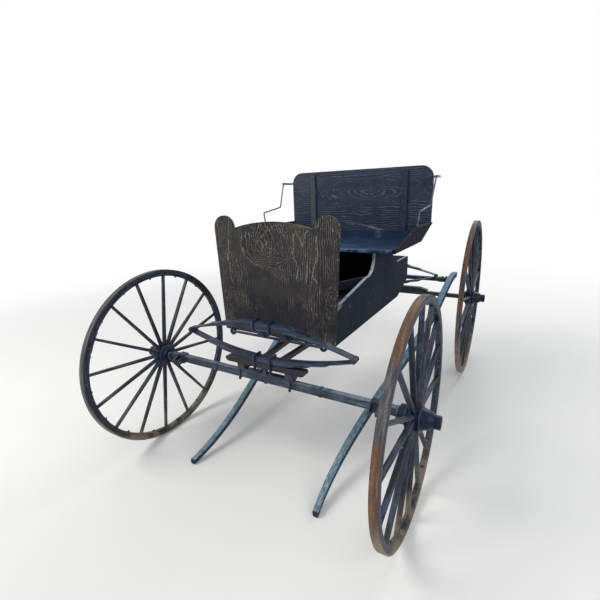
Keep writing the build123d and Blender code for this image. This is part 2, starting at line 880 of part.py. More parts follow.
bracket_front_y = back_front_y - bracket_arm_length
bracket_z = back_top - bracket_drop
bracket_tip = back_half_width + bracket_reach
bracket_inner = bracket_tip - bracket_arm_width
rail_foot_x = seat_end_foot + seat_flare + rail_radius
rail_bend_x = rail_foot_x + rail_bend_out
rail_foot_y = front_axle_y + rail_foot_run
rail_foot_z = seat_top + seat_end_height
for rail_name, rail_side in (("seat_rail_left", 1), ("seat_rail_right", -1)):
    rail_top = (
        rail_side * (bracket_inner + bracket_tip) / 2,
        bracket_front_y + bracket_arm_width / 2,
        bracket_z + bracket_thickness / 2,
    )
    with BuildPart() as seat_rail:
        with BuildLine() as rail_path:
            FilletPolyline(
                rail_top,
                (rail_side * rail_bend_x, rail_foot_y + rail_run, rail_foot_z + rail_bend_rise),
                (rail_side * (rail_foot_x + rail_knee_out), rail_foot_y, rail_foot_z + rail_rise),
                (rail_side * rail_foot_x, rail_foot_y, rail_foot_z),
                radius=rail_bend,
            )
        with BuildSketch(Plane(origin=rail_path.line @ 0, z_dir=rail_path.line % 0)):
            Circle(rail_radius)
        sweep()
        with BuildSketch(Plane.XY.offset(bracket_z)):
            with BuildLine():
                Polyline(
                    (rail_side * back_half_width, back_front_y),
                    (rail_side * bracket_inner, back_front_y),
                    (rail_side * bracket_inner, bracket_front_y),
                    (rail_side * bracket_tip, bracket_front_y),
                    (rail_side * bracket_tip, seat_rear_y),
                    (rail_side * back_half_width, seat_rear_y),
                    close=True,
                )
            make_face()
        extrude(amount=bracket_thickness)
    finish(seat_rail.part, rail_name)


# Body irons
def body_iron(axle_y, pad_z, points):
    """Pad under the upper pack, with two flat irons bent from it to the body's bottom."""
    pad_half = iron_offset + iron_width / 2
    with BuildPart() as iron:
        with BuildSketch(Plane(origin=(0, axle_y, pad_z))):
            Rectangle(2 * pad_half, spring_width)
        extrude(amount=iron_thickness / 2, both=True)
        for side in (-1, 1):
            with BuildSketch(along_y(side * iron_offset - iron_width / 2)):
                with BuildLine():
                    FilletPolyline((axle_y, pad_z), *points, radius=iron_bend)
                trace(line_width=iron_thickness)
            extrude(amount=iron_width)
    return iron.part


front_pad_z = front_eye_z + pad_bottom + iron_thickness / 2
rear_pad_z = rear_eye_z + pad_bottom + iron_thickness / 2
iron_z = body_bottom - iron_thickness / 2
rod_y = dash_front_y - cross_rod_radius
rod_z = body_bottom - cross_rod_radius
with BuildPart() as front_iron:
    add(
        body_iron(
            front_axle_y,
            front_pad_z,
            (
                (front_axle_y + spring_width / 2 + iron_thickness, front_pad_z),
                (dash_front_y - 2 * iron_thickness, iron_z),
                (front_axle_y + iron_reach, iron_z),
            ),
        )
    )
    with BuildSketch(Plane(origin=(-ring_eye_offset, rod_y, rod_z), z_dir=(1, 0, 0))):
        Circle(cross_rod_radius)
    extrude(amount=2 * ring_eye_offset)
    for side in (-1, 1):
        with BuildSketch(Plane(origin=(side * ring_eye_offset, rod_y, rod_z), z_dir=(0, -1, 0))):
            Circle(ring_eye_outer)
        extrude(amount=ring_eye_thickness / 2, both=True)
    for side in (-1, 1):
        with BuildSketch(Plane(origin=(side * ring_eye_offset, rod_y, rod_z), z_dir=(0, -1, 0))):
            Circle(ring_eye_inner)
        extrude(amount=ring_eye_thickness, both=True, mode=Mode.SUBTRACT)
finish(front_iron.part, "front_body_iron")

tail_slope = tail_rise / (body_end - tail_rise_start)
tail_iron_drop = iron_thickness / 2 * sqrt(1 + tail_slope**2) + iron_seat_gap
tail_iron_end_z = body_bottom + tail_slope * tail_iron_stop - tail_iron_drop
with BuildPart() as rear_iron:
    add(
        body_iron(
            rear_axle_y,
            rear_pad_z,
            (
                (rear_axle_y - spring_width, rear_pad_z),
                (body_end_y, body_bottom + tail_rise - tail_iron_drop),
                (front_axle_y + tail_rise_start + tail_iron_stop, tail_iron_end_z),
            ),
        )
    )
finish(rear_iron.part, "rear_body_iron")


# Shafts
shaft_rest_z = rear_axle_z + axle_bar / 2 + shaft_rest_gap + shaft_depth / 2
shaft_stations = (
    # distance behind the front axle, offset to the side, height, width, depth
    (-shaft_tip_reach, 360.0, 15.0, 28.0, 30.0),
    (wheelbase * 0.06, 352.0, 104.0, 34.0, 36.0),
    (wheelbase * 0.27, 395.0, 226.0, 38.0, 42.0),
    (wheelbase * 0.57, 475.0, 384.0, 40.0, 48.0),
    (wheelbase * 0.84, 520.0, shaft_rest_z - 88.0, shaft_width, shaft_depth),
    (wheelbase, 532.0, shaft_rest_z, shaft_width, shaft_depth),
    (wheelbase + shaft_heel_reach, 546.0, shaft_rest_z + 56.0, 40.0, 46.0),
)


def make_shaft(name, side):
    """Bent wooden shaft, lofted through its stations from tip to heel."""
    with BuildPart() as shaft:
        for run, offset_x, height, width, depth in shaft_stations:
            station = Plane(
                origin=(side * offset_x, front_axle_y + run, height),
                x_dir=(1, 0, 0),
                z_dir=(0, 1, 0),
            )
            with BuildSketch(station):
                RectangleRounded(width, depth, shaft_round)
        loft()
    finish(shaft.part, name)


make_shaft("shaft_left", 1)
make_shaft("shaft_right", -1)

axle_station, heel_station = shaft_stations[-2:]
crossbar_run = wheelbase + crossbar_setback
crossbar_share = (crossbar_run - axle_station[0]) / (heel_station[0] - axle_station[0])
crossbar_x, crossbar_z, crossbar_meets = (
    front + (rear - front) * crossbar_share for front, rear in zip(axle_station[1:4], heel_station[1:4])
)
crossbar_half = crossbar_x - crossbar_meets / 2 - crossbar_end_gap
with BuildPart() as crossbar:
    with BuildSketch(Plane(origin=(-crossbar_half, front_axle_y + crossbar_run, crossbar_z), z_dir=(1, 0, 0))):
        RectangleRounded(crossbar_thickness, crossbar_thickness, crossbar_thickness / 4)
    extrude(amount=2 * crossbar_half)
finish(crossbar.part, "shaft_crossbar")

heel_run, heel_x, heel_z = heel_station[:3]
with BuildPart() as heel_irons:
    for side in (-1, 1):
        with BuildSketch(along_y(side * heel_x - heel_iron_width / 2)):
            with BuildLine():
                Polyline(
                    (front_axle_y + heel_run, heel_z - shaft_eye_radius),
                    (front_axle_y + heel_run + heel_iron_length, heel_z - shaft_eye_radius),
                    (front_axle_y + heel_run + heel_iron_length, heel_z + shaft_eye_radius),
                    (front_axle_y + heel_run, heel_z + shaft_eye_radius),
                    close=True,
                )
            make_face()
            with Locations((front_axle_y + heel_run + heel_iron_length, heel_z)):
                Circle(shaft_eye_radius)
                Circle(coupling_bolt_radius, mode=Mode.SUBTRACT)
        extrude(amount=heel_iron_width)
finish(heel_irons.part, "shaft_heel_irons")
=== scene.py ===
"""Finishes, fittings, light and camera for a light four-wheeled driving wagon.

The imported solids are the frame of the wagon. This script gives every solid a procedural finish,
adds the bolts, nuts, straps, screws and splinters that the solids leave out, and sets up a plain
studio. Metres, +Z up, the front of the wagon faces -Y and its left side is +X.
"""

import logging
import math
import random
from abc import ABC, abstractmethod
from dataclasses import dataclass, field
from enum import Enum
from typing import ClassVar, Iterable, Sequence

import bmesh
import bpy
from mathutils import Matrix, Vector


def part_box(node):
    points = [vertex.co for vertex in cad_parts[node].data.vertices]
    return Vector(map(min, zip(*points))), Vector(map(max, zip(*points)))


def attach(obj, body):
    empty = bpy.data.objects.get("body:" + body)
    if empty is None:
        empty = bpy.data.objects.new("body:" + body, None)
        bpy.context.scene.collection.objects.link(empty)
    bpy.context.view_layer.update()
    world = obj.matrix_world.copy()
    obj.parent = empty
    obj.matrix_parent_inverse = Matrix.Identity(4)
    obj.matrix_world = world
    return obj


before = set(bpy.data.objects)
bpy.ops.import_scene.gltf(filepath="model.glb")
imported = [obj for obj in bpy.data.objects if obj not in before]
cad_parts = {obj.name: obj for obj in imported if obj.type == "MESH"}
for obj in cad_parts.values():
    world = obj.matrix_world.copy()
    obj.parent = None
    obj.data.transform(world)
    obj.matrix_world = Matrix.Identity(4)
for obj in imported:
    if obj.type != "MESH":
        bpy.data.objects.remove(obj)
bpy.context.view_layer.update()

log = logging.getLogger("wagon")
Socket = bpy.types.NodeSocket
Colour = tuple[float, float, float]
Place = tuple[float, float, float]
Pair = tuple[float, float]

X_AXIS = Vector((1.0, 0.0, 0.0))
Y_AXIS = Vector((0.0, 1.0, 0.0))
Z_AXIS = Vector((0.0, 0.0, 1.0))
BOTH_WAYS = (-1.0, 1.0)
FULL_TURN = 2 * math.pi
WHITE = (1.0, 1.0, 1.0)


class Axis(Enum):
    """An axis of the wagon, such as the one that a board's grain runs along."""

    X = 0
    Y = 1
    Z = 2

    def scales(self, across: float, along: float) -> Place:
        """Pattern scales across this axis and along it."""
        return tuple(along if axis == self.value else across for axis in range(3))


class End(Enum):
    """An end of the wagon, as the names of its solids give it."""

    FRONT = "front"
    REAR = "rear"


class Slot(Enum):
    """The record's material slots for dark iron and bare wood; nothing in this script gives them to
    a fitting.
    """

    IRON = "dark_iron"
    BARE_WOOD = "bare_wood"


@dataclass(frozen=True)
class Extent:
    """Lowest and highest corner of one solid at rest."""

    low: Vector
    high: Vector

    @classmethod
    def of(cls, node: str) -> "Extent":
        """Read the corners of the named solid."""
        low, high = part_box(node)
        return cls(low, high)

    @property
    def middle(self) -> Vector:
        """Centre of the solid's box."""
        return (self.low + self.high) / 2

    @property
    def size(self) -> Vector:
        """Edge lengths of the solid's box."""
        return self.high - self.low


# Colours ----------------------------------------------------------------------------------------


def shade(red: int, green: int, blue: int) -> Colour:
    """Turn a colour from a paint card into the linear colour that a shader takes.

    Args:
        red: red share of the paint, 0 to 255.
        green: green share of the paint, 0 to 255.
        blue: blue share of the paint, 0 to 255.

    Returns:
        The linear red, green and blue.
    """
    shares = (red / 255, green / 255, blue / 255)
    return tuple(s / 12.92 if s <= 0.04045 else ((s + 0.055) / 1.055) ** 2.4 for s in shares)


class Tones:
    """Colours that belong together."""

    @classmethod
    def of(cls, *cards: tuple[int, int, int]) -> "Tones":
        """Make the set from the colours of a paint card."""
        return cls(*(shade(*card) for card in cards))


@dataclass(frozen=True)
class PlyTones(Tones):
    """Colours of a figured board: ground, raised lines, grooves and stains."""

    ground: Colour
    line: Colour
    groove: Colour
    stain: Colour


@dataclass(frozen=True)
class Coat(Tones):
    """Colours of a coat of paint where it is whole and where it has worn thin."""

    whole: Colour
    thin: Colour


@dataclass(frozen=True)
class SideTones(Tones):
    """Colours of a painted side: face, its stains, and the pale and dark layers of its edge; the
    pale layer holds painted sunlight.
    """

    face: Colour
    stain: Colour
    pale_layer: Colour
    dark_layer: Colour


@dataclass(frozen=True)
class TyreTones(Tones):
    """Colours of a tyre: rust, bright rust, scale, rubbed iron and its darker sides."""

    rust: Colour
    bright: Colour
    scale: Colour
    rubbed: Colour
    side: Colour


@dataclass(frozen=True)
class WoodTones(Tones):
    """Colours of bare wood: its ground, pale fibres and dark checks."""

    ground: Colour
    pale: Colour
    check: Colour


@dataclass(frozen=True)
class Palette:
    """The wagon's colours; a few hold painted light or painted shade, as the notes by them say."""

    dash: PlyTones = PlyTones.of((54, 50, 50), (118, 111, 103), (30, 29, 32), (46, 45, 50))
    seat_back: PlyTones = PlyTones.of((33, 41, 60), (92, 100, 118), (22, 27, 40), (32, 44, 64))
    seat_board: PlyTones = PlyTones.of((16, 41, 71), (74, 103, 134), (10, 23, 42), (13, 31, 54))
    batten: PlyTones = PlyTones.of((26, 36, 59), (76, 88, 106), (18, 24, 38), (34, 42, 58))
    # side: the pale layer of the cut edge is bare ply with painted sunlight in it.
    side: SideTones = SideTones.of((29, 35, 45), (19, 26, 39), (198, 206, 216), (122, 134, 150))
    # seat_end: near black, painted shade on the seat ends.
    seat_end: Coat = Coat.of((18, 24, 36), (42, 50, 66))
    floor: Coat = Coat.of((38, 45, 58), (64, 72, 86))
    # deck: near black, painted shade on the rear deck.
    deck: Coat = Coat.of((8, 10, 14), (22, 26, 33))
    tailboard: Coat = Coat.of((36, 41, 52), (62, 68, 80))
    heel_board: Coat = Coat.of((26, 33, 43), (64, 80, 94))
    hub: Coat = Coat.of((8, 24, 50), (38, 62, 94))
    wheel: Coat = Coat.of((12, 17, 29), (62, 72, 92))
    axle: Coat = Coat.of((34, 43, 58), (100, 116, 136))
    bolster: Coat = Coat.of((30, 30, 36), (58, 57, 59))
    reach: Coat = Coat.of((28, 31, 38), (54, 54, 56))
    iron: Coat = Coat.of((26, 35, 52), (60, 74, 98))
    seat_rail: Coat = Coat.of((40, 44, 54), (104, 112, 122))
    # Shafts: the next two colours are the sunlit tops, bleached paint with painted sunlight in it;
    # the one after is painted shade for the sides and underside, and the colour of the cracks.
    shaft: Coat = Coat.of((84, 108, 124), (144, 164, 178))
    shaft_heel: Coat = Coat.of((76, 110, 140), (130, 160, 190))
    shaft_shade_and_crack: Colour = shade(24, 44, 54)
    shaft_bare: Colour = shade(112, 108, 100)
    tyre: TyreTones = TyreTones.of(
        (86, 64, 51), (126, 90, 64), (58, 54, 57), (98, 98, 98), (42, 48, 58)
    )
    splinter: WoodTones = WoodTones.of((132, 132, 128), (176, 178, 176), (48, 44, 42))
    leaf_joint: Colour = shade(14, 16, 22)
    rust: Colour = shade(84, 66, 56)
    chip: Colour = shade(118, 122, 124)
    dust: Colour = shade(138, 124, 104)
    # Pale blue-grey for upward faces: part dust, part painted highlight.
    pale_dust_and_sheen: Colour = shade(118, 132, 148)


PALETTE = Palette()


# Shader nodes -----------------------------------------------------------------------------------


class Field:
    """A number that varies over a surface: a shader socket that takes plain arithmetic."""

    def __init__(self, graph: "Graph", socket: Socket) -> None:
        """Hold a number's socket and the graph that it is in."""
        self.graph = graph
        self.socket = socket

    def __add__(self, other: "Value") -> "Field":
        """Sum of two numbers."""
        return self.graph.math("ADD", self, other)

    def __sub__(self, other: "Value") -> "Field":
        """Difference of two numbers."""
        return self.graph.math("SUBTRACT", self, other)

    def __mul__(self, other: "Value") -> "Field":
        """Product of two numbers."""
        return self.graph.math("MULTIPLY", self, other)

    def __abs__(self) -> "Field":
        """The number without its sign."""
        return self.graph.math("ABSOLUTE", self)

    def scaled(self, factor: "Value", plus: "Value") -> "Field":
        """The number times a factor, plus another number."""
        return self.graph.math("MULTIPLY_ADD", self, factor, plus)

    def span(self, low: float, high: float) -> "Field":
        """Stretch 0 to 1 into low to high."""
        return self.scaled(high - low, low)

    def step(self, low: float, high: float) -> "Field":
        """Smooth step from 0 at low to 1 at high, which may be the lesser of the two.

        Args:
            low: where the step is 0.
            high: where the step is 1.

        Returns:
            The step, 0 to 1.
        """
        start, end = (1.0, 0.0) if high < low else (0.0, 1.0)
        limits = {"From Min": min(low, high), "From Max": max(low, high)}
        inputs = {"Value": self, **limits, "To Min": start, "To Max": end}
        node = self.graph.add("MapRange", inputs, interpolation_type="SMOOTHSTEP")
        return Field(self.graph, node.outputs["Result"])


Value = Field | float


class NodeTree:
    """A tree of shader nodes, with short calls that add and wire them."""

    def __init__(self, tree: bpy.types.NodeTree) -> None:
        """Start from an emptied tree."""
        self.tree = tree
        tree.nodes.clear()

    def feed(self, socket: Socket, value: object) -> None:
        """Link a socket to another, or set its own value.

        Args:
            socket: the input to fill.
            value: a field, a socket, or a plain value.
        """
        if isinstance(value, Field):
            value = value.socket
        if isinstance(value, bpy.types.NodeSocket):
            self.tree.links.new(value, socket)
        elif socket.type == "RGBA":
            socket.default_value = (*value, 1.0)
        else:
            socket.default_value = value

    def add(self, kind: str, inputs: dict[int | str, object], **options: object) -> bpy.types.Node:
        """Add a node.

        Args:
            kind: the node's type, without the words that every shader node's type begins with.
            inputs: what each input takes, by the input's place or name.
            options: the node's own options.

        Returns:
            The new node.
        """
        node = self.tree.nodes.new(f"ShaderNode{kind}")
        for name, option in options.items():
            setattr(node, name, option)
        for name, value in inputs.items():
            self.feed(node.inputs[name], value)
        return node


class Graph(NodeTree):
    """One material's nodes, from the places on a surface to its shader."""

    noise_roughness: ClassVar[float] = 0.6

    def __init__(self, name: str) -> None:
        """Start an empty material with a shader and an output.

        Args:
            name: the material's name.
        """
        self.material = bpy.data.materials.new(name)
        self.material.use_nodes = True
        super().__init__(self.material.node_tree)
        self.shader = self.add("BsdfPrincipled", {})
        self.output = self.add("OutputMaterial", {"Surface": self.shader.outputs["BSDF"]})
        coordinates = self.add("TexCoord", {})
        self.place = coordinates.outputs["Object"]
        self.facing = coordinates.outputs["Normal"]

    def math(self, operation: str, first: Value, second: Value = 0.0, third: Value = 0.0) -> Field:
        """Combine numbers with one of Blender's math operations."""
        node = self.add("Math", {0: first, 1: second, 2: third}, operation=operation)
        return Field(self, node.outputs[0])

    def hypotenuse(self, first: Field, second: Field) -> Field:
        """Distance made of two distances square to each other."""
        return self.math("SQRT", first * first + second * second)

    def stretch(self, vector: Socket, scale: Place = (1, 1, 1), shift: Place = (0, 0, 0)) -> Socket:
        """Shift a place and scale it along each axis.

        Args:
            vector: the place to change.
            scale: factor along X, Y and Z.
            shift: distance taken off before the scaling.

        Returns:
            The changed place.
        """
        moved = self.add("VectorMath", {0: vector, 1: shift}, operation="SUBTRACT").outputs[0]
        return self.add("VectorMath", {0: moved, 1: scale}, operation="MULTIPLY").outputs[0]

    def join(self, x: Value, y: Value, z: Value = 0.0) -> Socket:
        """Place made of three numbers."""
        return self.add("CombineXYZ", {0: x, 1: y, 2: z}).outputs[0]

    def parts(self, vector: Socket) -> tuple[Field, Field, Field]:
        """The three numbers of a vector."""
        return tuple(Field(self, part) for part in self.add("SeparateXYZ", {0: vector}).outputs)

    def length(self, vector: Socket) -> Field:
        """Length of a vector."""
        return Field(self, self.add("VectorMath", {0: vector}, operation="LENGTH").outputs["Value"])

    def noise(
        self, vector: Socket, scale: float = 1.0, detail: float = 4.0, warp: float = 0.0
    ) -> Field:
        """Cloudy pattern from 0 to 1.

        Args:
            vector: place on the surface.
            scale: lumps to the metre.
            detail: number of finer layers.
            warp: how far the pattern is twisted.

        Returns:
            The pattern.
        """
        inputs = {"Vector": vector, "Scale": scale, "Detail": detail}
        inputs |= {"Roughness": self.noise_roughness, "Distortion": warp}
        return Field(self, self.add("TexNoise", inputs).outputs["Fac"])

    def cells(self, vector: Socket, scale: float) -> Field:
        """Distance to the nearest of many scattered points, for crackle."""
        node = self.add("TexVoronoi", {"Vector": vector, "Scale": scale})
        return Field(self, node.outputs["Distance"])

    def mix(self, share: Value, first: object, second: object) -> Socket:
        """Blend from the first colour to the second."""
        return self.add("Mix", {0: share, 6: first, 7: second}, data_type="RGBA").outputs[2]

    def choose(self, share: Value, first: Value, second: Value) -> Field:
        """Blend from the first number to the second."""
        node = self.add("Mix", {0: share, 2: first, 3: second}, data_type="FLOAT")
        return Field(self, node.outputs[0])

    def layers(self, ground: object, *coats: tuple[Value, object]) -> Socket:
        """Lay coats of colour over a ground.

        Args:
            ground: the colour below all coats.
            coats: how much of each coat shows, and its colour.

        Returns:
            The colour that shows.
        """
        for share, colour in coats:
            ground = self.mix(share, ground, colour)
        return ground

    def close(
        self,
        colour: Socket,
        rough: Value,
        height: Field,
        depth: float,
        gloss: float,
        metal: float = 0.0,
    ) -> None:
        """Wire the finished colour, roughness and relief to the shader.

        Args:
            colour: surface colour.
            rough: surface roughness.
            height: relief of the surface, 0 to 1.
            depth: how deep the relief is, in metres.
            gloss: strength of the surface's own reflection.
            metal: share of bare metal.
        """
        relief = self.add("Bump", {"Strength": 1.0, "Distance": depth, "Height": height})
        surface = {"Base Color": colour, "Roughness": rough, "Normal": relief.outputs["Normal"]}
        for name, value in (surface | {"Specular IOR Level": gloss, "Metallic": metal}).items():
            self.feed(self.shader.inputs[name], value)


# Finishes ---------------------------------------------------------------------------------------


class Finish(ABC):
    """A procedural finish. Each finish is made once for each set of its values."""

    made: ClassVar[dict[object, bpy.types.Material]] = {}

    @property
    def material(self) -> bpy.types.Material:
        """The Blender material of this finish, made when it is first asked for.

        Returns:
            The material.
        """
        if self not in Finish.made:
            graph = Graph(f"{type(self).__name__}_{len(Finish.made):02d}")
            self.paint(graph)
            Finish.made[self] = graph.material
        return Finish.made[self]

    @abstractmethod
    def paint(self, graph: Graph) -> None:
        """Add this finish's nodes to the graph."""

    def dress(self, *nodes: str) -> None:
        """Give the named solids this finish.

        Args:
            nodes: the solids' names.
        """
        for name in nodes:
            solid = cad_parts[name]
            solid.data.materials.clear()
            solid.data.materials.append(self.material)


@dataclass(frozen=True)
class Knot:
    """A figure that the grain flows round, drawn out more one way than the other."""

    across: float
    along: float
    reach: float
    ahead: float
    behind: float
    rings: float
    warp: float = 0.5
    core: ClassVar[float] = 0.62


@dataclass(frozen=True)
class Blotch:
    """A patch of another colour on a board, which can hide the grain lines under it."""

    across: float
    along: float
    half_across: float
    half_along: float
    colour: Colour
    share: float
    hides: float
    rim: ClassVar[Pair] = (1.15, 0.45)
    ragged: ClassVar[float] = 2.6


@dataclass(frozen=True)
class PaleLine:
    """A pale line between two places, each given across and along the grain."""

    start: Pair
    end: Pair
    half: float = 0.0028
    share: float = 1.0
    end_fade: ClassVar[float] = 0.004


@dataclass(frozen=True)
class FiguredPly(Finish):
    """Sawn plywood face with raised grain lines, knots, pale lines and stained patches."""

    along: Axis
    across: Axis
    tones: PlyTones
    pitch: float
    rough: Pair
    gloss: float
    depth: float
    strength: float
    line_share: float = 0.25
    ripple: float = 1.2
    jag: float = 1.3
    broken: Pair = (0.36, 0.6)
    knots: tuple[Knot, ...] = ()
    blotches: tuple[Blotch, ...] = ()
    pale_lines: tuple[PaleLine, ...] = ()

    def level(self, graph: Graph, across: Field, along: Field, wander: Field) -> Field:
        """Height field whose level lines are the grain.

        Args:
            graph: the material's nodes.
            across: place across the grain.
            along: place along the grain.
            wander: slow noise that bends the grain.

        Returns:
            The field, one unit to each grain line.
        """
        slow = graph.noise(graph.join(across * 30.0, along * 11.0), detail=3.0)
        quick = graph.noise(graph.join(across * 80.0, along * 34.0), detail=2.0)
        shake = slow.scaled(self.ripple, quick * self.jag)
        level = wander.scaled(9.0, across * (1 / self.pitch)) + shake
        for knot in self.knots:
            ahead = along - knot.along
            drawn = graph.math("MAXIMUM", ahead) * (1 / knot.ahead)
            drawn += graph.math("MINIMUM", ahead) * (1 / knot.behind)
            away = graph.hypotenuse(across - knot.across, drawn)
            away = (wander - 0.5).scaled(knot.warp * knot.reach, away)
            rings = away.scaled(knot.rings / knot.reach, shake * 1.7)
            level = graph.choose(away.step(knot.reach, knot.reach * knot.core), level, rings)
        return level

    def scuff(
        self, line: PaleLine, across: Field, along: Field, fade: Field, spots: Field
    ) -> Field:
        """Where one pale line shows.

        Args:
            line: the line's place and width.
            across: place across the grain.
            along: place along the grain.
            fade: noise that bends the line.
            spots: finer noise that bends and breaks it.

        Returns:
            1 on the line and 0 away from it.
        """
        (from_across, from_along), (to_across, to_along) = line.start, line.end
        slope = (to_across - from_across) / (to_along - from_along)
        bent = (along - from_along).scaled(-slope, across) + (fade * 0.034 + spots * 0.016)
        inside = abs(bent - (from_across + 0.025)).step(line.half, line.half * 0.3)
        starts = along.step(from_along - line.end_fade, from_along + line.end_fade)
        ends = along.step(to_along + line.end_fade, to_along - line.end_fade)
        return inside * (starts * ends) * spots.step(0.34, 0.5)

    def paint(self, graph: Graph) -> None:
        """Grain lines over a stained ground, with fine fibres along the grain.

        Args:
            graph: the nodes to add to.
        """
        tones, places = self.tones, graph.parts(graph.place)
        along, across = places[self.along.value], places[self.across.value]
        wander = graph.noise(graph.join(across * 5.0, along * 0.9))
        wave = graph.math("SINE", self.level(graph, across, along, wander) * FULL_TURN)
        ridge = wave.step(1 - 2 * self.line_share, 1.0)
        groove = wave.step(-0.45, -1.0)
        fibre = graph.noise(graph.stretch(graph.place, self.along.scales(260.0, 14.0)), detail=3.0)
        cloud = graph.noise(graph.place, 5.0, 5.0)
        fade = graph.noise(graph.stretch(graph.place, shift=(3, 7, 1)), 13.0)
        spots = graph.noise(graph.stretch(graph.place, shift=(1, 4, 9)), 42.0)
        strength = fade.step(*self.broken) * self.strength
        colour = graph.mix(cloud.step(0.42, 0.66), tones.ground, tones.stain)
        for blotch in self.blotches:
            aside = (across - blotch.across) * (1 / blotch.half_across)
            ahead = (along - blotch.along) * (1 / blotch.half_along)
            away = (fade - 0.5).scaled(blotch.ragged, graph.hypotenuse(aside, ahead))
            inside = away.step(*blotch.rim)
            colour = graph.mix(inside * blotch.share, colour, blotch.colour)
            strength *= inside.span(1.0, 1.0 - blotch.hides)
        colour = graph.layers(
            colour, (groove * (strength * 0.7), tones.groove), (ridge * strength, tones.line)
        )
        pale = tuple(min(share * 1.3, 1.0) for share in tones.line)
        for line in self.pale_lines:
            shown = self.scuff(line, across, along, fade, spots)
            colour = graph.mix(shown * line.share, colour, pale)
        colour = graph.layers(
            colour,
            (fibre.step(0.5, 0.75) * 0.45, tones.groove),
            (spots.step(0.66, 0.74) * 0.4, tones.line),
        )
        rough = (cloud * fibre.span(0.6, 1.2)).span(*self.rough)
        graph.close(colour, rough, ridge * 0.6 + fibre * 0.4, self.depth, self.gloss)


@dataclass(frozen=True)
class SidePly(Finish):
    """Matt painted plywood with pale, layered cut edges whose pale holds painted sunlight."""

    tones: SideTones
    layer: float = 0.006

    def paint(self, graph: Graph) -> None:
        """Dull paint on the faces, pale layers with painted sunlight on cut edges, fewest where
        they face rearwards.

        Args:
            graph: the nodes to add to.
        """
        tones = self.tones
        side_facing, rear_facing, _ = graph.parts(graph.facing)
        # Pale edge layers: bare ply with painted sunlight, shown less where the edge faces
        # rearwards.
        on_edge = abs(side_facing).step(0.8, 0.4)
        pale_edge_share = rear_facing.step(0.7, 0.3).span(0.25, 1.0)
        cloud = graph.noise(graph.place, 4.0, 6.0)
        fibre = graph.noise(graph.stretch(graph.place, (60, 9, 200)))
        scuff = graph.noise(graph.place, 26.0, 5.0)
        plies = graph.math("SINE", graph.parts(graph.place)[0] * (FULL_TURN / self.layer))
        face = graph.layers(
            tones.face,
            (cloud.step(0.4, 0.66), tones.stain),
            (scuff.step(0.64, 0.74) * 0.5, tones.dark_layer),
        )
        edge = graph.layers(
            tones.dark_layer,
            (plies.step(-0.2, 0.5), tones.pale_layer),
            (scuff.step(0.5, 0.7) * 0.6, tones.stain),
        )
        colour = graph.mix(on_edge * pale_edge_share, face, edge)
        graph.close(colour, fibre.span(0.55, 0.85), fibre * 0.7 + cloud * 0.3, 0.0006, 0.08)


@dataclass(frozen=True)
class WornPaint(Finish):
    """Old brushed paint on wood, thin along the grain, with chips, and dust on upward faces that
    with a pale blue-grey is also a painted highlight.
    """

    grain: Axis
    coat: Coat
    wear: float
    dust_and_sheen_share: float
    # Colour on upward faces: dust; a pale blue-grey one is dust and painted highlight.
    dust: Colour = PALETTE.dust
    chip: Colour = PALETTE.chip
    dust_and_sheen_from: float = 0.3
    rough: Pair = (0.4, 0.75)
    gloss: float = 0.3

    def paint(self, graph: Graph) -> None:
        """Base coat, thin streaks, dust and painted highlight on what faces up, and small chips.

        Args:
            graph: the nodes to add to.
        """
        fibre = graph.noise(graph.stretch(graph.place, self.grain.scales(150.0, 9.0)))
        cloud = graph.noise(graph.place, 7.0, 6.0)
        chips = graph.noise(graph.place, 70.0, 6.0, 0.6)
        upwards = graph.parts(graph.facing)[2]
        thin = (fibre * 0.6 + cloud * 0.6).step(0.85 - self.wear, 1.0 - self.wear * 0.4)
        # Upward faces: dust, with painted highlight where the colour is pale blue-grey.
        dusty = upwards.step(0.2, 0.9) * cloud.step(self.dust_and_sheen_from, self.dust_and_sheen_from + 0.22)
        chipped = chips.step(0.68 - self.wear * 0.15, 0.74 - self.wear * 0.15)
        colour = graph.layers(
            self.coat.whole,
            (thin, self.coat.thin),
            (dusty * self.dust_and_sheen_share, self.dust),
            (chipped, self.chip),
        )
        rough = (thin * 0.5 + dusty * 0.5).span(*self.rough)
        graph.close(colour, rough, fibre * 0.6 - chipped * 0.4, 0.0005, self.gloss)


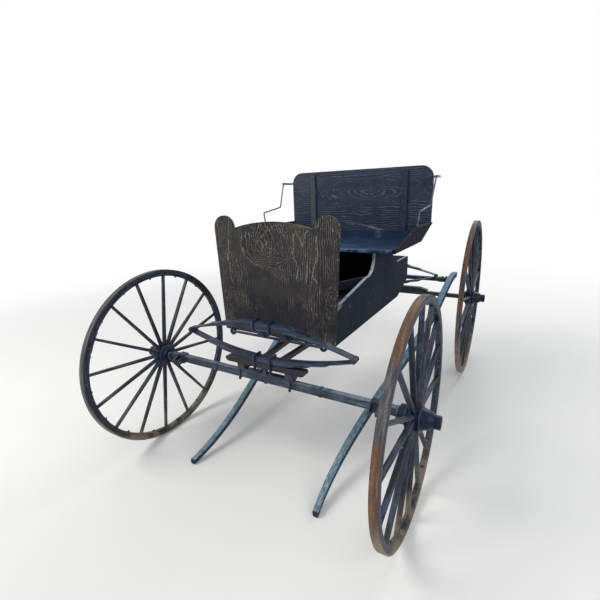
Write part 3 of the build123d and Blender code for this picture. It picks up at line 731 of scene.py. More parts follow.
@dataclass(frozen=True)
class WheelPaint(Finish):
    """Chipped blue-black paint of a wheel, with pale streaks along each spoke: worn paint and
    painted highlight.
    """

    centre: Place
    radius: float
    first_spoke: float
    pitch: float
    coat: Coat = PALETTE.wheel
    rim_depths: Pair = (0.045, 0.038)

    def paint(self, graph: Graph) -> None:
        """Pale streaks of worn paint and painted highlight along the spokes and round the rim,
        chips to grey wood, mud near the ground.

        Args:
            graph: the nodes to add to.
        """
        inward = graph.stretch(graph.place, shift=self.centre)
        aside, ahead, up = graph.parts(inward)
        turn = graph.math("ARCTAN2", ahead, up)
        away = graph.hypotenuse(ahead, up)
        share = (turn - self.first_spoke) * (1 / self.pitch)
        nearest = graph.math("ROUND", share)
        offset = (share - nearest) * self.pitch * away
        on_spoke = graph.join(offset * 190.0, away * 9.0, aside.scaled(120.0, nearest * 7.3))
        on_rim = graph.join(away * 240.0, turn * 5.0, aside * 160.0)
        rimmed = away.step(*(self.radius - depth for depth in self.rim_depths))
        streak = graph.choose(rimmed, graph.noise(on_spoke), graph.noise(on_rim))
        cloud = graph.noise(inward, 8.0, 6.0)
        fine = graph.noise(inward, 70.0, 5.0, 0.5)
        crackle = graph.cells(inward, 180.0)
        # Pale streaks: worn paint together with painted highlights along the round spokes and rim.
        worn = (streak * 0.65 + cloud * 0.45).step(0.5, 0.68)
        muddy = up.step(-self.radius * 0.5, -self.radius * 0.8) * cloud.step(0.34, 0.56)
        colour = graph.layers(
            self.coat.whole,
            (worn * 0.85, self.coat.thin),
            (muddy * 0.6, PALETTE.dust),
            (fine.step(0.66, 0.72), PALETTE.chip),
        )
        rough = (cloud * 0.6 + muddy * 0.6).span(0.38, 0.85)
        graph.close(colour, rough, streak * 0.6 + crackle * 0.4, 0.0005, 0.3)


@dataclass(frozen=True)
class GreyZone:
    """A stretch of a tyre's tread that has lost its rust, as angles from straight up."""

    turn: float
    half: float

    @classmethod
    def degrees(cls, turn: float, half: float) -> "GreyZone":
        """Make a zone from its middle and its half length in degrees."""
        return cls(math.radians(turn), math.radians(half))


@dataclass(frozen=True)
class RustyTyre(Finish):
    """Iron tyre: zones of rust and of grey iron on the tread, darker blue-grey sides, a dusty foot.
    """

    centre: Place
    radius: float
    rusted: float
    grey_zones: tuple[GreyZone, ...]
    tones: TyreTones = PALETTE.tyre

    def paint(self, graph: Graph) -> None:
        """Rust in zones round the tyre, pits, rubbed spots and a dusty foot.

        Args:
            graph: the nodes to add to.
        """
        tones = self.tones
        inward = graph.stretch(graph.place, shift=self.centre)
        aside, ahead, up = graph.parts(inward)
        turn = graph.math("ARCTAN2", ahead, up)
        streak = graph.noise(graph.join(aside * 70.0, turn * 4.0), detail=5.0)
        zone = graph.noise(graph.stretch(inward, (2.0, 1.0, 1.0)), 4.2)
        cloud = graph.noise(inward, 13.0, 5.0)
        pits = graph.noise(inward, 150.0, 5.0, 0.3)
        foot = (up * (1 / self.radius)).step(-0.12, -0.5)
        sideways = abs(graph.parts(graph.facing)[0])
        edge = 0.66 - 0.32 * self.rusted
        level = zone * 0.75 + cloud * 0.25
        for bare in self.grey_zones:
            level -= abs(turn - bare.turn).step(bare.half * 1.5, bare.half * 0.6) * 0.3
        rusty = level.step(edge - 0.06, edge + 0.06)
        colour = graph.layers(
            graph.mix(streak.step(0.4, 0.62), tones.scale, tones.rubbed),
            (rusty, graph.mix(streak.step(0.42, 0.64), tones.rust, tones.bright)),
            (pits.step(0.5, 0.36) * 0.65, tones.scale),
            (pits.step(0.6, 0.7) * 0.5, tones.rubbed),
            (sideways.step(0.4, 0.9) * cloud.span(0.6, 1.1), tones.side),
            (foot * cloud.step(0.3, 0.5) * 0.85, PALETTE.dust),
        )
        graph.close(colour, pits.span(0.5, 0.9), pits * 0.7 + streak * 0.3, 0.0008, 0.3)


@dataclass(frozen=True)
class WornIron(Finish):
    """Dark forged iron with thin paint, rust blooms and rubbed patches."""

    coat: Coat = PALETTE.iron
    rusted: float = 0.25

    def paint(self, graph: Graph) -> None:
        """Dark iron under blotches of rust, with a hammered surface.

        Args:
            graph: the nodes to add to.
        """
        cloud = graph.noise(graph.place, 16.0, 6.0)
        bloom = graph.noise(graph.stretch(graph.place, shift=(5, 2, 9)), 34.0, 6.0, 0.3)
        fine = graph.noise(graph.place, 190.0)
        rusty = bloom.step(0.7 - self.rusted * 0.5, 0.82 - self.rusted * 0.5)
        colour = graph.layers(
            self.coat.whole,
            (cloud.step(0.4, 0.66), self.coat.thin),
            (rusty * fine.span(0.3, 1.0), PALETTE.rust),
        )
        rough = (rusty * 0.7 + fine * 0.3).span(0.38, 0.7)
        graph.close(colour, rough, fine * 0.5 + cloud * 0.5, 0.0007, 0.35, 0.25)


@dataclass(frozen=True)
class SpringSteel(Finish):
    """Painted spring leaves: a dark line at every joint between leaves, and patches of rust."""

    centre_z: float
    inner_radius: float
    leaf: float
    coat: Coat = PALETTE.iron

    def paint(self, graph: Graph) -> None:
        """Leaf joints from the distance to the arc's centre, with worn paint between.

        Args:
            graph: the nodes to add to.
        """
        inward = graph.stretch(graph.place, (1, 0, 1), (0, 0, self.centre_z))
        depth = (graph.length(inward) - self.inner_radius) * (1 / self.leaf)
        phase = abs(graph.math("FRACT", depth) - 0.5)
        seam = phase.step(0.38, 0.47) * abs(graph.parts(graph.facing)[1]).step(0.4, 0.8)
        streak = graph.noise(graph.stretch(graph.place, (7, 60, 90)), detail=5.0)
        cloud = graph.noise(graph.place, 12.0, 5.0)
        fine = graph.noise(graph.place, 120.0, 5.0)
        colour = graph.layers(
            self.coat.whole,
            (streak.step(0.4, 0.66), self.coat.thin),
            ((cloud * 0.6 + fine * 0.4).step(0.56, 0.68), PALETTE.rust),
            (seam, PALETTE.leaf_joint),
        )
        graph.close(colour, cloud.span(0.35, 0.7), fine * 0.4 - seam, 0.0009, 0.35, 0.1)


@dataclass(frozen=True)
class FadedShaft(Finish):
    """Blue paint on a bent shaft: bleached and lit with painted sunlight on top, bluer at its heel,
    and painted shade in dark teal below.
    """

    fore: Coat = PALETTE.shaft
    heel: Coat = PALETTE.shaft_heel
    # Painted shade for the sides and underside, also the colour of the cracks.
    under: Colour = PALETTE.shaft_shade_and_crack
    bare: Colour = PALETTE.shaft_bare
    heel_fade: Pair = (-0.7, 0.0)

    def paint(self, graph: Graph) -> None:
        """Top bleached and lit with painted sunlight, long dark cracks, and painted shade on the
        sides and below.

        Args:
            graph: the nodes to add to.
        """
        fibre = graph.noise(graph.stretch(graph.place, (170, 7, 120)), detail=5.0)
        cloud = graph.noise(graph.stretch(graph.place, (9, 4, 9)), detail=5.0)
        flakes = graph.noise(graph.place, 55.0, 6.0, 0.8)
        upwards = graph.parts(graph.facing)[2]
        # Painted sunlight and shade: tops take the lit paint colours, the rest the painted shade.
        lit_top = (upwards + (cloud - 0.5) * 0.6).step(0.05, 0.75)
        rearwards = graph.parts(graph.place)[1].step(*self.heel_fade)
        whole = graph.mix(rearwards, self.fore.whole, self.heel.whole)
        thin = graph.mix(rearwards, self.fore.thin, self.heel.thin)
        crack = fibre.step(0.34, 0.26)
        colour = graph.layers(
            self.under,
            (lit_top, graph.mix(fibre.step(0.4, 0.66), whole, thin)),
            (flakes.step(0.6, 0.68), self.bare),
            (crack * 0.7, self.under),
        )
        graph.close(colour, fibre.span(0.5, 0.85), fibre * 0.7 - crack * 0.5, 0.0008, 0.28)


@dataclass(frozen=True)
class BareBoard(Finish):
    """Grey, unpainted wood with open grain and dark checks."""

    grain: Axis
    tones: WoodTones

    def paint(self, graph: Graph) -> None:
        """Silvered grain with checks along it.

        Args:
            graph: the nodes to add to.
        """
        tones = self.tones
        rings = graph.noise(graph.stretch(graph.place, self.grain.scales(70.0, 3.0)), 1.0, 5.0, 0.4)
        fibre = graph.noise(graph.stretch(graph.place, self.grain.scales(280.0, 12.0)))
        cloud = graph.noise(graph.place, 8.0)
        check = rings.step(0.34, 0.28)
        colour = graph.layers(
            tones.ground,
            (rings.step(0.38, 0.62), tones.pale),
            (check, tones.check),
            (cloud.step(0.45, 0.7) * 0.5, tones.check),
        )
        graph.close(colour, fibre.span(0.6, 0.9), fibre * 0.5 - check * 0.5, 0.0008, 0.2)


IRON_FINISH = WornIron()
RUSTY_IRON_FINISH = WornIron(rusted=0.42)


# Fittings ---------------------------------------------------------------------------------------

Ring = list[bmesh.types.BMVert]


class Fittings:
    """Small parts of one sub-assembly, gathered into one mesh.

    The profiles give radius and height of each ring, as shares of a nut's half width.
    """

    washer: ClassVar[tuple[Pair, ...]] = ((1.35, 0.0), (1.35, 0.16), (0.5, 0.2))
    hexagon: ClassVar[tuple[Pair, ...]] = ((1.02, 0.12), (1.12, 0.9), (0.95, 1.0), (0.5, 1.02))
    bolt_end: ClassVar[tuple[Pair, ...]] = ((0.55, 0.8), (0.55, 1.35), (0.42, 1.5), (0.0, 1.52))
    dome_steps: ClassVar[int] = 5
    dome_rim: ClassVar[float] = 0.1
    dome_rise: ClassVar[float] = 0.38
    edge_shape: ClassVar[float] = 0.6

    def __init__(self, name: str, body: str) -> None:
        """Start an empty mesh.

        Args:
            name: name of the piece.
            body: the body that it will ride on.
        """
        self.name = name
        self.body = body
        self.mesh = bmesh.new()

    @staticmethod
    def square_to(axis: Vector) -> tuple[Vector, Vector]:
        """Find two unit vectors square to an axis and to each other.

        Args:
            axis: a unit vector.

        Returns:
            The two vectors.
        """
        spare = Z_AXIS if abs(axis.z) < 0.9 else X_AXIS
        first = axis.cross(spare).normalized()
        return first, axis.cross(first).normalized()

    def ring(
        self, centre: Vector, first: Vector, second: Vector, radius: float, sides: int
    ) -> Ring:
        """Add points round a centre.

        Args:
            centre: middle of the ring.
            first: unit vector to the first point.
            second: unit vector square to it, in the ring's plane.
            radius: radius of the ring.
            sides: number of points.

        Returns:
            The points in order.
        """
        turns = (FULL_TURN * step / sides for step in range(sides))
        spokes = (first * math.cos(turn) + second * math.sin(turn) for turn in turns)
        return [self.mesh.verts.new(centre + spoke * radius) for spoke in spokes]

    def skin(self, rings: Sequence[Ring], smooth: bool, capped: bool) -> None:
        """Join each ring to the next with faces.

        Args:
            rings: rings of points in order; a ring of one point is a tip.
            smooth: whether the faces shade as round.
            capped: whether the first and last ring are closed too.
        """
        for lower, upper in zip(rings, rings[1:]):
            low, high = len(lower), len(upper)
            sides = max(low, high)
            for step in range(sides):
                after = (step + 1) % sides
                below = (lower[step % low], lower[after % low])
                above = (upper[after % high], upper[step % high])
                self.mesh.faces.new(tuple(dict.fromkeys(below + above))).smooth = smooth
        if capped:
            self.mesh.faces.new(reversed(rings[0]))
            self.mesh.faces.new(rings[-1])

    def turned(
        self,
        foot: Vector,
        axis: Vector,
        profile: Sequence[Pair],
        sides: int = 20,
        smooth: bool = True,
    ) -> None:
        """Turn a profile round an axis.

        Args:
            foot: where the axis starts.
            axis: direction of the axis.
            profile: radius and height of each ring, from the foot up.
            sides: flats round the axis, 6 for a nut.
            smooth: whether the sides shade as round.
        """
        axis = axis.normalized()
        first, second = self.square_to(axis)
        rings = [
            self.ring(foot + axis * height, first, second, radius, sides)
            if radius
            else [self.mesh.verts.new(foot + axis * height)]
            for radius, height in profile
        ]
        self.skin(rings, smooth, capped=False)

    def nut(self, foot: Vector, axis: Vector, across: float) -> None:
        """Washer, hex nut and the end of its bolt.

        Args:
            foot: middle of the face that the washer lies on.
            axis: direction away from that face.
            across: width of the nut.
        """
        half = across / 2
        parts = ((self.washer, 20, True), (self.hexagon, 6, False), (self.bolt_end, 14, True))
        for profile, sides, smooth in parts:
            sized = [(half * radius, half * height) for radius, height in profile]
            self.turned(foot, axis, sized, sides, smooth)

    def dome(self, foot: Vector, axis: Vector, radius: float) -> None:
        """Round head of a carriage bolt or screw.

        Args:
            foot: middle of the face that the head lies on.
            axis: direction away from that face.
            radius: radius of the head.
        """
        profile = [(radius, 0), (radius * 0.99, radius * self.dome_rim)]
        for step in range(1, self.dome_steps):
            angle = math.pi / 2 * step / self.dome_steps
            height = self.dome_rim + self.dome_rise * math.sin(angle)
            profile.append((radius * math.cos(angle), radius * height))
        profile.append((0, radius * (self.dome_rim + self.dome_rise)))
        self.turned(foot, axis, profile)

    def plate(
        self, middle: Vector, along: Vector, normal: Vector, size: Place, ease: float = 0.001
    ) -> None:
        """Flat bar with eased edges.

        Args:
            middle: centre of the bar.
            along: direction of its length.
            normal: direction of its thickness.
            size: length, width and thickness.
            ease: width of the eased edges.
        """
        along, normal = along.normalized(), normal.normalized()
        aside = normal.cross(along)
        made = bmesh.ops.create_cube(self.mesh, size=1.0)["verts"]
        turn = Matrix((along * size[0], aside * size[1], normal * size[2])).transposed()
        for vertex in made:
            vertex.co = middle + turn @ vertex.co
        edges = list(dict.fromkeys(edge for vertex in made for edge in vertex.link_edges))
        bmesh.ops.bevel(
            self.mesh, geom=edges, offset=ease, segments=2, affect="EDGES", profile=self.edge_shape
        )

    def bar(self, points: Sequence[Vector], radius: float, sides: int, tip: float) -> None:
        """Round bar through some points.

        Args:
            points: middle of the bar at each ring.
            radius: radius at its start.
            sides: flats round the bar.
            tip: thickness of its end, as a share of its start.
        """
        rings = []
        first = None
        last = len(points) - 1
        for index, point in enumerate(points):
            axis = (points[min(index + 1, last)] - points[max(index - 1, 0)]).normalized()
            if first is None:
                first = self.square_to(axis)[0]
            else:
                first = (first - axis * first.dot(axis)).normalized()
            size = radius * (1 + (tip - 1) * index / last)
            rings.append(self.ring(point, first, axis.cross(first), size, sides))
        self.skin(rings, smooth=True, capped=True)

    def arc_strip(
        self, centre: Vector, axis: Vector, radius: float, span: Pair, size: Pair, steps: int = 14
    ) -> None:
        """Flat strip bent round an axis.

        Args:
            centre: centre of the bend.
            axis: direction of the axis.
            radius: inner radius of the strip.
            span: start and end angle from straight up, in radians.
            size: width along the axis and thickness.
            steps: straight pieces along the bend.
        """
        axis = axis.normalized()
        aside = axis.cross(Z_AXIS).normalized()
        half, thickness = size[0] / 2, size[1]
        section = ((-half, 0.0), (half, 0.0), (half, thickness), (-half, thickness))
        rings = []
        for step in range(steps + 1):
            angle = span[0] + (span[1] - span[0]) * step / steps
            spoke = Z_AXIS * math.cos(angle) + aside * math.sin(angle)
            corners = (centre + axis * over + spoke * (radius + out) for over, out in section)
            rings.append([self.mesh.verts.new(corner) for corner in corners])
        self.skin(rings, smooth=False, capped=True)

    def done(self, finish: Finish = RUSTY_IRON_FINISH) -> None:
        """Make the object, dress it and set it riding.

        Args:
            finish: the finish of all its parts.
        """
        bmesh.ops.recalc_face_normals(self.mesh, faces=self.mesh.faces[:])
        data = bpy.data.meshes.new(self.name)
        self.mesh.to_mesh(data)
        self.mesh.free()
        data.materials.append(finish.material)
        piece = bpy.data.objects.new(self.name, data)
        bpy.context.scene.collection.objects.link(piece)
        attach(piece, self.body)
        log.info("%s rides on %s with %d faces", self.name, self.body, len(data.polygons))


# Sub-assemblies ---------------------------------------------------------------------------------


@dataclass
class Wheel:
    """One wheel: paint, rusty tyre, rim bolts, rim joint plates and hub flanges."""

    prefix: str
    rusted: float
    grey_zones: tuple[GreyZone, ...] = ()
    spokes: int = 16
    rim_depth: float = 0.035
    rim_margin: float = 0.01
    nut_size: float = 0.011
    joint_angles: Pair = (math.radians(62), math.radians(242))
    joint_length: float = 0.11
    plate_width: float = 0.02
    plate_thickness: float = 0.0025
    flange_radius: float = 0.056
    flange_bore: float = 0.72
    flange_offset: float = 0.0235
    flange_edge: float = 0.003
    flange_shoulder: Pair = (0.985, 0.0045)
    flange_height: float = 0.006
    flange_foot: float = 0.96
    flange_sides: int = 48
    rivet_circle: float = 0.0485
    rivet_radius: float = 0.0042
    rivet_lift: float = 0.004
    centre: Vector = field(init=False)
    radius: float = field(init=False)
    rim_inner: float = field(init=False)
    first_spoke: float = field(init=False)

    def __post_init__(self) -> None:
        """Read the wheel's place and sizes from its tyre."""
        tyre = Extent.of(f"{self.prefix}_tyre")
        self.centre = tyre.middle
        self.radius = tyre.size.z / 2
        self.rim_inner = self.radius - self.rim_depth
        self.first_spoke = self.find_first_spoke()

    @property
    def pitch(self) -> float:
        """Angle from one spoke to the next."""
        return FULL_TURN / self.spokes

    def find_first_spoke(self) -> float:
        """Find the angle of one spoke from the spokes' ends near the rim.

        Returns:
            The angle from straight up, less than one pitch.
        """
        arms = [v.co - self.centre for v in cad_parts[f"{self.prefix}_spokes"].data.vertices]
        near_rim = [arm for arm in arms if arm.length > self.rim_inner - self.rim_margin]
        turns = [math.atan2(arm.y, arm.z) * self.spokes for arm in near_rim]
        mean = math.atan2(sum(map(math.sin, turns)), sum(map(math.cos, turns)))
        return mean / self.spokes % self.pitch

    def between_spokes(self) -> list[Vector]:
        """Unit vectors from the hub, halfway between the spokes."""
        turns = [self.first_spoke + self.pitch * (index + 0.5) for index in range(self.spokes)]
        return [Vector((0, math.sin(turn), math.cos(turn))) for turn in turns]

    def dress(self) -> None:
        """Paint the wood and the hub, and rust the tyre."""
        paint = WheelPaint(tuple(self.centre), self.radius, self.first_spoke, self.pitch)
        paint.dress(f"{self.prefix}_spokes", f"{self.prefix}_felloe")
        # The hub's pale blue-grey on upward faces is dust and a painted highlight.
        hub = WornPaint(
            Axis.X,
            PALETTE.hub,
            wear=0.12,
            dust_and_sheen_share=0.2,
            dust=PALETTE.pale_dust_and_sheen,
            dust_and_sheen_from=0.42,
            rough=(0.4, 0.7),
            gloss=0.2,
        )
        hub.dress(f"{self.prefix}_hub")
        tyre = RustyTyre(tuple(self.centre), self.radius, self.rusted, self.grey_zones)
        tyre.dress(f"{self.prefix}_tyre")

    def build(self) -> None:
        """Make the rim bolts, the joint plates and the riveted hub flanges."""
        fittings = Fittings(f"{self.prefix}_wheel_fittings", f"{self.prefix}_wheel")
        between = self.between_spokes()
        for outwards in between:
            fittings.nut(self.centre + outwards * self.rim_inner, -outwards, self.nut_size)
        half = self.joint_length / self.radius / 2
        plate = (self.plate_width, self.plate_thickness)
        for joint in self.joint_angles:
            inner = self.rim_inner - self.plate_thickness
            fittings.arc_strip(self.centre, X_AXIS, inner, (joint - half, joint + half), plate)
        outer, bore = self.flange_radius, self.flange_radius * self.flange_bore
        shoulder, shoulder_height = self.flange_shoulder
        flange = (
            (bore, 0),
            (outer, 0),
            (outer, self.flange_edge),
            (outer * shoulder, shoulder_height),
            (bore, self.flange_height),
            (bore * self.flange_foot, 0),
        )
        for end in BOTH_WAYS:
            foot = self.centre + X_AXIS * end * self.flange_offset
            fittings.turned(foot, X_AXIS * end, flange, self.flange_sides)
            for outwards in between:
                head = foot + outwards * self.rivet_circle + X_AXIS * end * self.rivet_lift
                fittings.dome(head, X_AXIS * end, self.rivet_radius)
        fittings.done(IRON_FINISH)


@dataclass
class RunningGear:
    """Axles, turning gear, springs, reaches and body irons with their bolts."""

    nut: float = 0.014
    centre_bolt: float = 0.011
    bolt_sink: float = 0.0005
    clip_half: float = 0.004
    front_leg_drop: float = 0.008
    spring_half_span: float = 0.457
    spring_rise: float = 0.072
    spring_parting: float = 0.003
    leaf: float = 0.007
    strap_x: float = 0.069
    strap_depth: float = 0.0083
    strap_inset: float = 0.03
    strap_nut: float = 0.9
    front_strap_step: float = -0.14
    rear_strap_step: float = 0.12
    rear_slope: float = 0.081 / 0.228
    rear_slope_start: float = 0.07
    turning_bolt_x: float = 0.145
    turning_bolt_y: float = 0.018
    turning_nut: float = 0.8
    axle_band: float = 0.012
    band_thickness: float = 0.0024
    band_overlap: float = 0.003
    band_gap: float = 0.0006
    band_ease: float = 0.0007
    front_band_x: float = 0.3
    front_bar: Pair = (0.028, 0.036)
    front_bar_z: float = 0.489
    rear_band_x: float = 0.43
    rear_bar: Pair = (0.028, 0.028)

    def dress(self) -> None:
        """Give the axles, springs and irons their finishes."""
        # Pale blue-grey on the tops of the axles, head block and axle bed: dust and painted
        # highlight; the axles' pale worn patches are partly painted highlight too.
        pale = PALETTE.pale_dust_and_sheen
        axle = WornPaint(Axis.X, PALETTE.axle, 0.3, 0.85, pale, PALETTE.rust, dust_and_sheen_from=0.4)
        axle.dress("front_axle", "rear_axle")
        WornPaint(Axis.X, PALETTE.bolster, 0.24, 0.15, pale).dress("head_block", "rear_axle_bed")
        WornPaint(Axis.Y, PALETTE.reach, 0.24, 0.15).dress("reaches")
        turning = ("turning_plate_lower", "turning_plate_upper", "king_bolt", "shaft_couplings")
        RUSTY_IRON_FINISH.dress(*turning)
        for part in ("body_iron", "spring_clips"):
            IRON_FINISH.dress(*(f"{end.value}_{part}" for end in End))
        for end in End:
            self.dress_spring(end)

    def dress_spring(self, end: End) -> None:
        """Set the leaf joints of one elliptic spring from its own arcs.

        Args:
            end: the end of the wagon that the spring is at.
        """
        upper, lower = (Extent.of(f"{end.value}_spring_{half}") for half in ("upper", "lower"))
        eye_z = (upper.high.z + lower.low.z) / 2
        drop = self.spring_rise - self.spring_parting
        inner = (self.spring_half_span**2 + drop**2) / (2 * drop)
        for half, flip in (("upper", 1.0), ("lower", -1.0)):
            arc = SpringSteel(eye_z + flip * (self.spring_rise - inner), inner, self.leaf)
            arc.dress(f"{end.value}_spring_{half}")

    def build(self) -> None:
        """Make the clip nuts, spring bolts, turning-plate bolts and axle bands."""
        front_leg_z = Extent.of("head_block").low.z - self.front_leg_drop
        self.build_spring(End.FRONT, "head_block", front_leg_z)
        self.build_spring(End.REAR, "rear_axle_bed", Extent.of("rear_spring_clips").low.z)
        self.build_turning()

    def build_spring(self, end: End, bearer: str, leg_z: float) -> None:
        """Bolts and nuts of one spring, its clips and the body iron over it.

        Args:
            end: the end of the wagon that the spring is at.
            bearer: the block of wood that the spring's clips go round.
            leg_z: height of the lower end of the clips' legs.
        """
        fittings = Fittings(f"{end.value}_spring_fittings", "wagon")
        clips, spring = (Extent.of(f"{end.value}_spring_{part}") for part in ("clips", "upper"))
        block = Extent.of(bearer)
        for side in BOTH_WAYS:
            for face in BOTH_WAYS:
                leg_y = block.middle.y + face * (block.size.y / 2 + self.clip_half)
                foot = Vector((side * (clips.high.x - self.clip_half), leg_y, leg_z))
                fittings.nut(foot, -Z_AXIS, self.nut)
        head = Vector((0, spring.middle.y, spring.high.z - self.bolt_sink))
        fittings.dome(head, Z_AXIS, self.centre_bolt)
        self.build_strap(fittings, end)
        fittings.done(IRON_FINISH)

    def build_strap(self, fittings: Fittings, end: End) -> None:
        """Bolts through one body iron where it runs under the floor, which slopes at the rear.

        Args:
            fittings: the mesh that takes the bolts.
            end: the end of the wagon that the iron is at.
        """
        iron = Extent.of(f"{end.value}_body_iron")
        if end is End.FRONT:
            slope, step = 0.0, self.front_strap_step
            start = iron.high.y - self.strap_inset
            base_z = Extent.of("floor_board").low.z
        else:
            slope, step = self.rear_slope, self.rear_strap_step
            start = iron.low.y + self.strap_inset
            base_z = Extent.of("rear_floor").low.z + slope * self.rear_slope_start
        down = Vector((0, slope, -1)).normalized()
        for side in BOTH_WAYS:
            for index in range(2):
                y = start + step * index
                z = base_z + slope * (y - start) - self.strap_depth
                foot = Vector((side * self.strap_x, y, z))
                fittings.nut(foot, down, self.nut * self.strap_nut)

    def build_turning(self) -> None:
        """Bolts of the turning plates, and the bands of both axles on their own bodies."""
        plate, front, rear = map(Extent.of, ("turning_plate_lower", "front_axle", "rear_axle"))
        fittings = Fittings("front_axle_fittings", "front_axle")
        for side in BOTH_WAYS:
            for face in BOTH_WAYS:
                y = front.middle.y + face * self.turning_bolt_y
                foot = Vector((side * self.turning_bolt_x, y, plate.low.z))
                fittings.nut(foot, -Z_AXIS, self.nut * self.turning_nut)
            middle = Vector((side * self.front_band_x, front.middle.y, self.front_bar_z))
            self.band(fittings, middle, self.front_bar)
        fittings.done()
        bands = Fittings("rear_axle_fittings", "wagon")
        for side in BOTH_WAYS:
            middle = Vector((side * self.rear_band_x, rear.middle.y, rear.middle.z))
            self.band(bands, middle, self.rear_bar)
        bands.done()

    def band(self, fittings: Fittings, middle: Vector, bar: Pair) -> None:
        """Thin iron band shrunk round an axle bar.

        Args:
            fittings: the mesh that takes the band.
            middle: centre of the bar where the band is.
            bar: depth and height of the bar.
        """
        depth, height = (size + self.band_gap for size in bar)
        for sign in BOTH_WAYS:
            for axis, reach, width in ((Z_AXIS, height, depth), (Y_AXIS, depth, height)):
                face = axis * sign
                size = (self.axle_band, width + self.band_overlap, self.band_thickness)
                fittings.plate(middle + face * reach / 2, X_AXIS, face, size, self.band_ease)


@dataclass
class Body:
    """Plywood body: dash, sides, floors, boards, screws and torn edges."""

    screw: float = 0.0046
    side_screw_heights: Place = (0.035, 0.11, 0.165)
    foot_screws: int = 6
    foot_screw_start: float = -0.25
    foot_screw_step: float = 0.1
    foot_screw_height: float = 0.009
    floor_screws: int = 7
    floor_screw_margin: float = 0.06
    tail_screw_heights: Pair = (0.03, 0.115)
    splinters: int = 34
    seed: int = 11
    sill_z: float = 0.840
    sill_rise: float = 0.006
    torn_start: float = 0.004
    torn_length: float = 0.07
    torn_bunching: float = 1.7
    torn_width: float = 0.9
    splinter_sink: Pair = (0.0, 0.02)
    splinter_lean: tuple[Pair, Pair, Pair] = ((-0.25, 0.6), (-0.2, 0.5), (0.4, 1.0))
    splinter_length: Pair = (0.014, 0.046)
    splinter_bend: Pair = (-0.002, 0.004)
    splinter_radius: Pair = (0.0014, 0.0034)
    splinter_sides: int = 4
    splinter_tip: float = 0.2

    dash_finish: ClassVar[FiguredPly] = FiguredPly(
        Axis.Z,
        Axis.X,
        PALETTE.dash,
        pitch=0.0098,
        rough=(0.6, 0.95),
        gloss=0.12,
        strength=0.82,
        depth=0.0010,
        broken=(0.28, 0.54),
        knots=(
            Knot(-0.045, 1.09, 0.2, 2.1, 0.58, 13.0, 1.0),
            Knot(0.3, 0.9, 0.05, 1.6, 3.0, 5.0, 0.7),
            Knot(-0.257, 0.905, 0.035, 2.0, 1.4, 3.0),
        ),
        blotches=(
            Blotch(-0.02, 0.895, 0.27, 0.08, shade(42, 41, 47), 0.5, 0.8),
            Blotch(-0.075, 0.925, 0.06, 0.03, shade(62, 55, 50), 0.35, 0.1),
            Blotch(0.08, 0.885, 0.055, 0.03, shade(60, 53, 49), 0.35, 0.1),
            Blotch(0.0, 0.775, 0.34, 0.1, shade(34, 37, 45), 0.75, 0.8),
            Blotch(0.3, 0.93, 0.08, 0.24, shade(40, 39, 43), 0.7, 0.35),
            Blotch(-0.1, 0.985, 0.1, 0.03, shade(40, 42, 50), 0.5, 0.4),
            Blotch(0.163, 1.14, 0.02, 0.045, shade(80, 68, 57), 0.6, 0.7),
            Blotch(0.18, 1.205, 0.075, 0.01, shade(98, 94, 78), 0.6, 0.4),
        ),
        pale_lines=(
            PaleLine((0.162, 1.118), (0.135, 1.185), 0.0034, 0.75),
            PaleLine((0.162, 1.118), (0.192, 1.187), 0.0034, 0.75),
            PaleLine((0.111, 1.075), (0.123, 1.175)),
            PaleLine((0.138, 1.017), (0.111, 1.075)),
            PaleLine((0.125, 0.951), (0.138, 1.017), 0.0035),
            PaleLine((0.239, 1.09), (0.235, 1.165)),
            PaleLine((0.214, 0.995), (0.239, 1.09)),
            PaleLine((0.231, 0.955), (0.214, 0.995), 0.0035),
            PaleLine((0.183, 0.955), (0.19, 1.05), 0.0024),
            PaleLine((-0.267, 1.015), (-0.26, 1.135), 0.0024),
            PaleLine((-0.251, 0.895), (-0.267, 1.015), 0.0024),
        ),
    )

    def dress(self) -> None:
        """Give each panel the grain and wear it has."""
        self.dash_finish.dress("dash")
        SidePly(PALETTE.side).dress("side_left", "side_right")
        floor = WornPaint(Axis.Y, PALETTE.floor, 0.2, 0.2)
        floor.dress("floor_board", "rear_floor", "seat_box_back")
        # The rear deck's near-black coat is painted shade.
        deck = WornPaint(Axis.X, PALETTE.deck, 0.08, 0.04, rough=(0.75, 0.95), gloss=0.04)
        deck.dress("rear_deck")
        WornPaint(Axis.X, PALETTE.tailboard, 0.22, 0.3).dress("tailboard")
        # The heel board's pale blue-grey top is dust and a painted highlight.
        WornPaint(Axis.X, PALETTE.heel_board, 0.2, 0.3, PALETTE.pale_dust_and_sheen).dress("heel_board")

    def build(self) -> None:
        """Drive the screws and tear the plywood where it is torn."""
        self.build_screws()
        self.build_splinters()

    def build_screws(self) -> None:
        """Screws of the dash, the sides and the tailboard."""
        fittings = Fittings("body_screws", "wagon")
        dash, side, tail, floor = map(Extent.of, ("dash", "side_left", "tailboard", "floor_board"))
        for height in self.side_screw_heights:
            for sign in BOTH_WAYS:
                foot = Vector((sign * side.middle.x, dash.low.y, side.low.z + height))
                fittings.dome(foot, -Y_AXIS, self.screw)
        for index in range(self.foot_screws):
            x = self.foot_screw_start + self.foot_screw_step * index
            foot = Vector((x, dash.low.y, dash.low.z + self.foot_screw_height))
            fittings.dome(foot, -Y_AXIS, self.screw)
        run = floor.size.y - 2 * self.floor_screw_margin
        for index in range(self.floor_screws):
            y = floor.low.y + self.floor_screw_margin + run * index / (self.floor_screws - 1)
            self.side_screws(fittings, side.high.x, y, floor.middle.z)
        for height in self.tail_screw_heights:
            self.side_screws(fittings, side.high.x, tail.middle.y, tail.low.z + height)
        fittings.done()

    def side_screws(self, fittings: Fittings, x: float, y: float, z: float) -> None:
        """One screw from each side of the body."""
        for sign in BOTH_WAYS:
            fittings.dome(Vector((sign * x, y, z)), X_AXIS * sign, self.screw)

